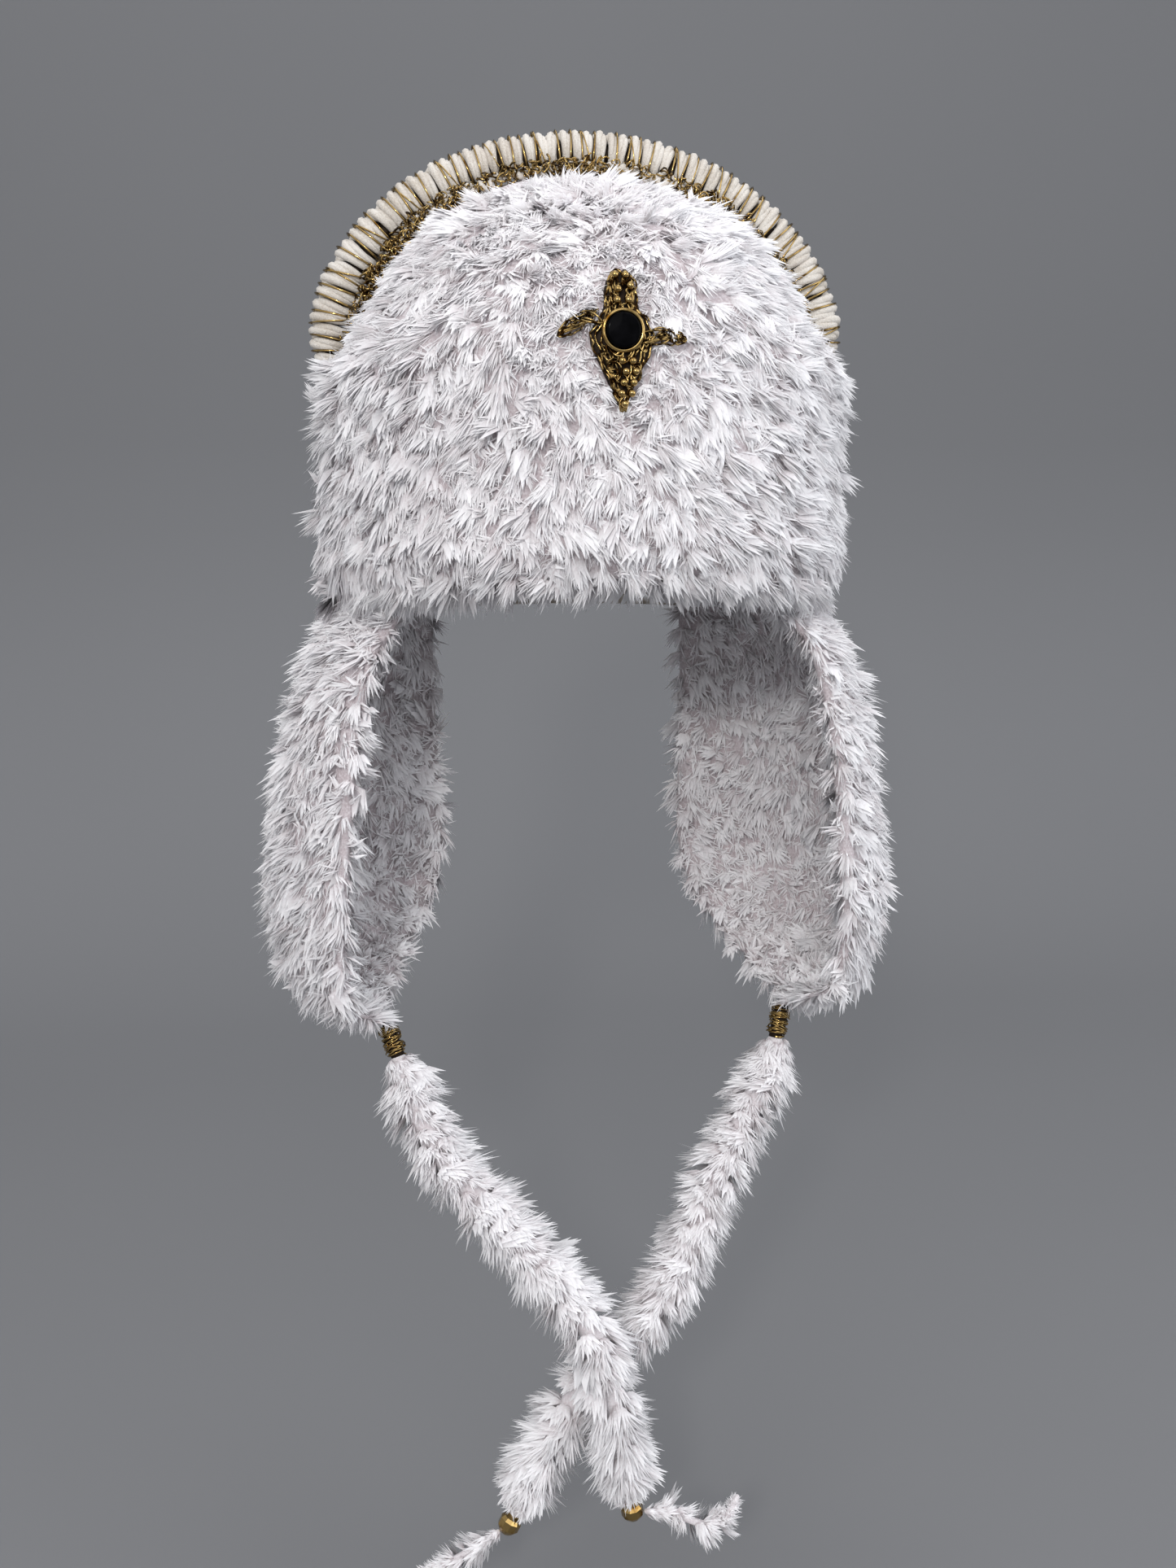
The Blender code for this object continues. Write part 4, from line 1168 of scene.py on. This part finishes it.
class HAT_OT_make_flaps(HatOperator, bpy.types.Operator):
    """Makes the tufted fur of the ear flaps, outside and inside"""

    bl_idname = "hat.make_flaps"
    bl_label = "Ear flaps"

    def leans(self, roots, normals, turn):
        """Outside it hangs down and outwards, inside it hangs down and forwards."""
        leans = np.zeros_like(roots)
        inside = (normals[:, 0] * turn < 0).astype(float)
        leans[:, 0] = turn * 0.4 * (1 - inside)
        leans[:, 1] = -0.3 - 0.3 * inside
        leans[:, 2] = -1.0 + 0.3 * inside
        return leans + swirl(roots, 0.04, 8) * 0.6

    def execute(self, context):
        sizes = self.sizes
        front_low, front_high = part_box("front_flap")
        for side, turn in SIDES.items():
            node = "ear_flap_" + side
            points, triangles, furred = backing(node)
            _, middles, outwards = faces_and_middles(points, triangles)
            chosen = furred | (middles[:, 2] < front_low.z) | (outwards & (middles[:, 1] > front_high.y))
            wrap = own_axes("gold_wrap_" + side)[0]
            pile = Pile()
            # The backing under the tufts is coloured near the roots' painted shade
            pile.add(points, triangles, tip=0.1, tuft=0.3)
            for number, (spacing, length, hairs, spread, stray, fan) in enumerate(LAYERS[:2]):
                gap = sizes.flap_spacing * spacing * (0.8 if number == 0 else 1.0)
                roots, normals = scatter(points, triangles, chosen, gap, 6 + number)
                dice = np.random.default_rng(40 + number)
                lengths = sizes.flap_fur_length * length * dice.uniform(0.8, 1.15, len(roots))
                rim = np.clip(1.3 - 1.6 * np.abs(normals[:, 0]), 0, 1)
                lifts = np.clip(0.52 + 0.3 * rim + 0.17 * dice.normal(size=len(roots)), 0.2, 0.92)
                style = (int(hairs * FLAP_HAIRS), sizes.hair_width * 1.5, spread * 1.2, stray, fan * 1.25)
                near = np.linalg.norm(roots - wrap, axis=1) / WRAP_CLEAR
                lengths = lengths * np.clip(near, 0.4, 1)
                leans = self.leans(roots, normals, turn) + dice.normal(0, 0.8, roots.shape) * (1 - number)
                grow_locks(pile, roots, normals, leans, lengths, lifts, style, 9)
            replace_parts(pile.make("flap_fur_" + side, "fur", "fur"), node)
        return {"FINISHED"}


class HAT_OT_make_crown(HatOperator, bpy.types.Operator):
    """Makes the rows of wool stitches on the crown behind the ridge"""

    bl_idname = "hat.make_crown"
    bl_label = "Crown"

    def rows(self):
        """Starts and ways of the rays that find each row of stitches, from the top to the nape."""
        height = self.sizes.stitch_height
        low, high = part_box("crown")
        found = []
        dome = round(math.pi / 2 * (high.z + WIDEST_DROP) / height)
        for row in range(1, dome + 1):
            rise = math.pi / 2 * (1 - row / dome)
            found.append((Vector((0, 0, -WIDEST_DROP)), math.cos(rise), math.sin(rise)))
        for row in range(1, round((-WIDEST_DROP - low.z) / height)):
            found.append((Vector((0, 0, -WIDEST_DROP - row * height)), 1.0, 0.0))
        return found

    def execute(self, context):
        sizes = self.sizes
        skin = surface_of("crown")
        ridge = Ridge(sizes)
        front_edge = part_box("front_flap")[1].y
        half_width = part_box("crown")[1].x
        places = []
        ways = []
        for number, (start, flat, rise) in enumerate(self.rows()):
            count = max(6, round(2 * math.pi * half_width * 1.08 * flat / sizes.stitch_width))
            for k in range(count):
                turn = 2 * math.pi * (k + 0.5 * (number % 2)) / count
                way = Vector((math.sin(turn) * flat, math.cos(turn) * flat, rise))
                spot, normal, _, _ = skin.ray_cast(start + way * 0.2, -way, 0.15)
                if spot is None:
                    continue
                behind = ridge.plane + ridge.depth if spot.z > -WIDEST_DROP else front_edge + STITCH_START
                if spot.y < behind:
                    continue
                out = Vector(way)
                across = Vector((0, 0, 1)).cross(out).normalized()
                places.append(spot)
                ways.append((across, across.cross(out) * -1, out))
        height = sizes.stitch_height
        width = sizes.stitch_width
        leaf = [
            (0.05 * width, -0.42 * height, 0.0002),
            (0.24 * width, 0.1 * height, 0.0008),
            (0.40 * width, 0.78 * height, 0.0002),
        ]
        stitch = mirrored(leaf, np.array([0.45, 1.0, 0.45]) * STITCH_YARN, 4)
        pile = Pile()
        pile.add_copies(stitch, np.array(places), np.array(ways))
        pile.make("crown_stitches", "wool", "wool")
        coat(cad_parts["crown"], "knit")
        return {"FINISHED"}


class HAT_OT_make_ridge(HatOperator, bpy.types.Operator):
    """Makes the roll of plump wool ribs with gold thread between them"""

    bl_idname = "hat.make_ridge"
    bl_label = "Ridge"

    def rib(self, ridge):
        """One rib: three plies that roll over the ridge together, close at both ends."""
        turns = np.radians(np.linspace(-38, 218, 15))
        swell = np.sin(np.linspace(0.12, 0.88, 15) * np.pi) ** 0.6
        plies = []
        for ply in range(RIB_PLIES):
            twist = turns * 1.1 + 2 * np.pi * ply / RIB_PLIES
            aside = PLY_ASIDE * np.cos(twist) * swell
            lift = PLY_LIFT * np.sin(twist) * swell
            front = (ridge.depth - 0.0016 + lift) * np.cos(turns)
            out = (ridge.reach - 0.0018 + lift) * np.sin(turns)
            path = columns(aside + 0.00012 * np.degrees(turns) / 90, front, out)
            plies.append(thread(path, PLY_RADIUS * swell + 0.0002, 7))
        return joined(plies)

    def gold_line(self, ridge, slant):
        """One turn of gold thread over the ridge, in a groove or slanting over a rib."""
        turns = np.radians(np.linspace(-30, 200, 13))
        front = ridge.depth * np.cos(turns) * 0.96
        out = ridge.reach * np.sin(turns) * 0.98
        return thread(columns(slant * np.sin(turns), front, out), self.sizes.thread_width * 0.6, 4)

    def execute(self, context):
        ridge = Ridge(self.sizes)
        ribs = round(ridge.length / self.sizes.rib_pitch)
        pitch = ridge.length / ribs
        dice = np.random.default_rng(12)
        travels = pitch * (np.arange(ribs) + 0.5)
        centres, ways = ridge.at(travels + dice.normal(0, 0.0002, ribs))
        slants = dice.normal(0.10, 0.15, ribs)[:, None]
        leaning = ways.copy()
        leaning[:, 0] = ways[:, 0] * np.cos(slants) + ways[:, 1] * np.sin(slants)
        leaning[:, 1] = ways[:, 1] * np.cos(slants) - ways[:, 0] * np.sin(slants)
        scales = ridge.scale(travels) * dice.uniform(0.95, 1.05, ribs)
        pile = Pile()
        pile.add_copies(self.rib(ridge), centres, leaning, scales)
        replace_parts(pile.make("wool_ribs", "wool", "wool"), "trim_ridge")
        # A roll of gold in painted shade under the ribs, seen dark in the grooves between them
        inner = Pile()
        radii = (ridge.depth - 0.0022) * np.minimum(ridge.scale(ridge.travel[::12]), 1)
        inner.add(*thread(ridge.line[::12], radii, 8))
        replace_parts(inner.make("ridge_core", "gold_in_painted_shade", "gold_thread"), "trim_ridge")
        gold = Pile()
        grooves = np.delete(pitch * np.arange(1, ribs), slice(3, None, 5))
        for slant, chosen in ((0.0004, grooves[::2]), (-0.0006, grooves[1::2]), (0.0024, travels[2::4])):
            centres, ways = ridge.at(chosen)
            scales = ridge.scale(chosen) * dice.uniform(1.0, 1.08, len(chosen))
            gold.add_copies(self.gold_line(ridge, slant), centres, ways, scales)
        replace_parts(gold.make("ridge_threads", "gold", "gold_thread"), "trim_ridge")
        return {"FINISHED"}


class HAT_OT_make_edging(HatOperator, bpy.types.Operator):
    """Makes the row of wool knots and the gathered gold chain at the foot of the ridge"""

    bl_idname = "hat.make_edging"
    bl_label = "Gold chain"

    def foot(self, ridge, travels, inwards):
        """Points on the front of the hat, this far in from the ridge's foot, and the way out there."""
        centres, ways = ridge.at(travels)
        places = centres + ways[:, 1] * (ridge.depth + FOOT_AHEAD) - ways[:, 2] * FOOT_BELOW
        shares = ridge.scale(travels)[:, None]
        places = centres + (places - centres) * shares
        topness = smooth_step(1 + centres[:, 2:] / 0.04)
        sunk = unit(ways[:, 1] * (0.45 + 0.5 * topness) - ways[:, 2] * 0.83)
        spots = places + sunk * inwards[:, None] * (1 + 0.6 * topness)
        for k in np.flatnonzero(inwards > 0.001):
            spots[k] = self.skin.find_nearest(Vector(spots[k]))[0]
        out = unit(ways[:, 1] * 0.75 + ways[:, 2] * 0.55)
        return spots, ways, out

    def knots(self, ridge):
        """Small knots of wool just under the ribs."""
        dice = np.random.default_rng(21)
        travels = np.arange(0.012, ridge.length - 0.012, KNOT_STEP)
        travels = travels + dice.normal(0, 0.0005, len(travels))
        spots, ways, out = self.foot(ridge, travels, dice.uniform(0.0, 0.0009, len(travels)))
        spots = spots + out * 0.0014 - ways[:, 2] * dice.uniform(0.0005, 0.0020, (len(travels), 1))
        knot = mirrored(KNOT_PATH, np.array([0.7, 1.0, 1.0, 0.7]) * KNOT_YARN, 6)
        angle = dice.uniform(-1.1, 1.1, len(travels))[:, None]
        first = unit(ways[:, 0] * np.cos(angle) + np.cross(out, ways[:, 0]) * np.sin(angle))
        frames = columns(first, out, np.cross(first, out))
        pile = Pile()
        pile.add_copies(knot, spots, frames, dice.uniform(0.95, 1.55, len(travels)))
        pile.make("wool_knots", "wool", "wool")

    def execute(self, context):
        ridge = Ridge(self.sizes)
        points, triangles, _ = backing("front_flap")
        self.skin = BVHTree.FromPolygons(points.tolist(), triangles.tolist())
        dice = np.random.default_rng(22)
        turns = np.linspace(0.3, 5.6, 10)
        long, wide, high = CHAIN_LOOP
        loop = columns(long * np.cos(turns), wide * np.sin(turns), high * np.sin(2 * turns))
        shape = thread(loop, self.sizes.thread_width * 0.55, 4)
        travels = []
        depths = []
        for travel in np.arange(0.004, ridge.length - 0.003, CHAIN_STEP):
            share = travel / ridge.length
            loops = read_table(GOLD_GATHERS, share, 1)
            reach = read_table(GOLD_GATHERS, share, 2)
            for _ in range(int(loops + dice.uniform(0, 1))):
                travels.append(travel + dice.normal(0, 0.0012))
                depths.append(reach * dice.uniform(-0.1, 1.0))
        travels = np.array(travels)
        spots, ways, out = self.foot(ridge, travels, np.array(depths))
        spots = spots + out * dice.uniform(0.0008, 0.0044, (len(travels), 1))
        normal = unit(out + 0.9 * dice.normal(size=out.shape))
        first = unit(np.cross(normal, unit(dice.normal(size=out.shape))))
        frames = columns(first, np.cross(normal, first), normal)
        scales = dice.uniform(0.7, 1.5, len(travels))
        # Half of the loops are polished gold, half the thread with painted glints and painted shade
        for start, name, finish in ((0, "gold_chain", "gold"), (1, "gold_tangle", "gold_thread")):
            pile = Pile()
            pile.add_copies(shape, spots[start::2], frames[start::2], scales[start::2])
            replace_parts(pile.make(name, finish, "gold_thread"), "gold_edging")
        self.knots(ridge)
        return {"FINISHED"}


class HAT_OT_make_brooch(HatOperator, bpy.types.Operator):
    """Makes the brooch: looped gold thread, leaves, round beads and a black stone in its ring"""

    bl_idname = "hat.make_brooch"
    bl_label = "Brooch"

    def outwards(self, node):
        """The middle of a round node, the way that it faces, its half sizes and its turn."""
        middle, ways, halves = own_axes(node)
        out = ways[2] if ways[2][1] < 0 else -ways[2]
        return middle, out, halves, Vector(out).to_track_quat("Z", "Y").to_euler()

    def make_stone(self):
        middle, _, halves, turn = self.outwards("brooch_stone")
        deselect_all()
        bpy.ops.mesh.primitive_cylinder_add(
            vertices=64, radius=halves[0], depth=2 * halves[2], location=middle, rotation=turn
        )
        stone = bpy.context.object
        bpy.ops.object.mode_set(mode="EDIT")
        bm = bmesh.from_edit_mesh(stone.data)
        for face in bm.faces:
            face.select = len(face.verts) > 4 and face.normal.z > 0
        bmesh.update_edit_mesh(stone.data)
        bpy.ops.mesh.bevel(offset=halves[2] * 0.7, segments=5)
        bpy.ops.object.mode_set(mode="OBJECT")
        finish_modelled(stone, "black_stone", "black_stone")
        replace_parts(stone, "brooch_stone")

    def make_ring(self):
        middle, out, halves, turn = self.outwards("brooch_bezel")
        wire = self.sizes.thread_width * 1.25
        deselect_all()
        bpy.ops.mesh.primitive_torus_add(
            major_radius=halves[0] - wire,
            minor_radius=wire,
            major_segments=72,
            minor_segments=12,
            location=middle + out * halves[2] * 0.4,
            rotation=turn,
        )
        ring = finish_modelled(bpy.context.object, "stone_ring", "gold")
        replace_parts(ring, "brooch_bezel")

    def make_beads(self):
        nodes = sorted(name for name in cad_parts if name.startswith("bead_"))
        boxes = [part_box(node) for node in nodes]
        radius = max(high.x - low.x for low, high in boxes) / 2
        deselect_all()
        bpy.ops.mesh.primitive_uv_sphere_add(segments=20, ring_count=12, radius=radius)
        ball = bpy.context.object
        shape = mesh_arrays(ball.data)
        bpy.data.objects.remove(ball)
        places = np.array([(low + high) / 2 for low, high in boxes])
        pile = Pile()
        pile.add_copies(shape, places, np.broadcast_to(np.eye(3), (len(places), 3, 3)))
        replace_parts(pile.make("brooch_beads", "gold", "gold"), *nodes)

    def make_threads(self):
        """A core in painted shade with gold thread looped over it along the brooch's own outline."""
        dice = np.random.default_rng(41)
        _, out, _, _ = self.outwards("brooch_stone")
        low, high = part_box("brooch_plate")
        skin = surface_of("brooch_plate")
        tall = high.z - low.z
        half = (high.x - low.x) / 2

        def on_plate(across, down, above):
            height = high.z - min(max(down, 0.01), 0.99) * tall
            middle, _, _, _ = skin.ray_cast(Vector((0, low.y - 0.01, height)), Vector((0, 1, 0)), 0.06)
            spot, _, _, _ = skin.find_nearest(Vector((across * half, middle.y - 0.001, height)))
            return np.array(spot) + out * above

        # The plate, shrunk and sunk, in painted shade under the threads
        core = Pile()
        points, triangles = mesh_arrays(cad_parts["brooch_plate"].data)
        middle = points.mean(axis=0)
        core.add(middle + (points - middle) * 0.95 - out * 0.0006, triangles)
        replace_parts(core.make("brooch_core", "gold_in_painted_shade", "gold_thread"), "brooch_plate")
        pile = Pile()
        width = self.sizes.brooch_thread
        for side in (-1, 1):
            for strand in range(EDGE_STRANDS):
                downs = np.linspace(0.015, 0.985, 30)
                wave = 0.05 * np.sin(downs * dice.uniform(30, 50) + dice.uniform(0, 6))
                reach = read_table(BROOCH_ROWS, downs, 1) * (1.0 - 0.17 * strand) + wave
                lift = 0.0001 + 0.0005 * np.abs(np.sin(downs * 34 + strand * 1.3))
                spots = [on_plate(side * a, d, h) for a, d, h in zip(reach, downs, lift)]
                pile.add(*thread(spots, width / 2, 5))
        for _ in range(BROOCH_LOOPS):
            down = dice.uniform(0.04, 0.96)
            reach = float(read_table(BROOCH_ROWS, down, 1))
            across = dice.uniform(-0.85, 0.85) * reach
            size = dice.uniform(0.0010, 0.0021)
            tilt = dice.uniform(0, 2 * np.pi)
            span = dice.uniform(3.0, 5.5)
            spots = []
            for turn in np.linspace(0, span, 11):
                x = size * math.cos(turn)
                z = 1.7 * size * math.sin(turn)
                aside = across + (x * math.cos(tilt) - z * math.sin(tilt)) / half
                lower = down + (x * math.sin(tilt) + z * math.cos(tilt)) / tall
                spots.append(on_plate(aside, lower, 0.0004 + 0.0008 * math.sin(turn / span * math.pi)))
            pile.add(*thread(spots, width * 0.42, 5))
        for side, turn in SIDES.items():
            leaf, leaf_ways, halves = own_axes("brooch_leaf_" + side)
            inwards = -turn if leaf_ways[0][0] > 0 else turn
            level = (high.z - leaf[2]) / tall
            for _ in range(LEAF_TIES[side]):
                root = on_plate(turn * dice.uniform(0.5, 0.9), level + dice.uniform(-0.04, 0.05), 0.0004)
                end = leaf + leaf_ways[0] * inwards * halves[0] * dice.uniform(-0.2, 0.7)
                end = end + leaf_ways[1] * halves[1] * dice.uniform(-0.8, 0.8) + out * 0.0006
                share = np.linspace(0, 1, 9)[:, None]
                bow = np.array(out) * 0.0014 + (0, 0, dice.uniform(-0.0012, 0.0012))
                spots = root * (1 - share) + np.array(end) * share + bow * 4 * share * (1 - share)
                pile.add(*thread(spots, width * 0.42, 5))
        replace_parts(pile.make("brooch_threads", "gold_thread", "gold_thread"), "brooch_plate")

    def make_leaves(self):
        """Each leaf is a twisted bundle of thread, swollen in its middle, with loose ends."""
        dice = np.random.default_rng(43)
        for side in SIDES:
            node = "brooch_leaf_" + side
            middle, ways, halves = own_axes(node)
            pile = Pile()
            for strand in range(LEAF_STRANDS):
                share = np.linspace(-1, dice.uniform(0.8, 1.12), 13)
                swell = np.cos(np.clip(share, -1, 1) * np.pi / 2) ** 0.7 + 0.12
                turn = 2 * np.pi * strand / LEAF_STRANDS + share * 1.3
                ring = 1.0 if strand % 2 else 0.5
                path = columns(
                    share * halves[0],
                    np.cos(turn) * swell * ring * halves[1] * 0.9,
                    np.sin(turn) * swell * ring * halves[2] * 1.1,
                )
                path = path + dice.normal(0, 0.00022, path.shape)
                pile.add(*thread(path @ ways + middle, self.sizes.brooch_thread * 0.4, 5))
            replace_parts(pile.make("gold_leaf_" + side, "gold_thread", "gold_thread"), node)

    def execute(self, context):
        self.make_stone()
        self.make_ring()
        self.make_beads()
        self.make_threads()
        self.make_leaves()
        return {"FINISHED"}


class HAT_PT_panel(bpy.types.Panel):
    """Lists the hat's sizes, colours and pieces in the sidebar"""

    bl_idname = "HAT_PT_panel"
    bl_label = "Earflap hat"
    bl_space_type = "VIEW_3D"
    bl_region_type = "UI"
    bl_category = "Hat"

    def draw(self, context):
        for group in (context.scene.hat_sizes, context.scene.hat_colours):
            for key in group.__annotations__:
                self.layout.prop(group, key)
        for piece in PIECES:
            self.layout.operator(piece.bl_idname)


PIECES = (
    HAT_OT_make_stage,
    HAT_OT_make_ties,
    HAT_OT_make_front,
    HAT_OT_make_flaps,
    HAT_OT_make_crown,
    HAT_OT_make_ridge,
    HAT_OT_make_edging,
    HAT_OT_make_brooch,
)
CLASSES = (HatSizes, HatColours, *PIECES, HAT_PT_panel)


def register():
    for made in CLASSES:
        bpy.utils.register_class(made)
    bpy.types.Scene.hat_sizes = bpy.props.PointerProperty(type=HatSizes)
    bpy.types.Scene.hat_colours = bpy.props.PointerProperty(type=HatColours)


def unregister():
    del bpy.types.Scene.hat_colours
    del bpy.types.Scene.hat_sizes
    for made in reversed(CLASSES):
        bpy.utils.unregister_class(made)


def main():
    register()
    bpy.ops.hat.make_stage()
    bpy.ops.hat.make_ties()
    bpy.ops.hat.make_front()
    bpy.ops.hat.make_flaps()
    bpy.ops.hat.make_crown()
    bpy.ops.hat.make_ridge()
    bpy.ops.hat.make_edging()
    bpy.ops.hat.make_brooch()


if __name__ == "__main__":
    main()
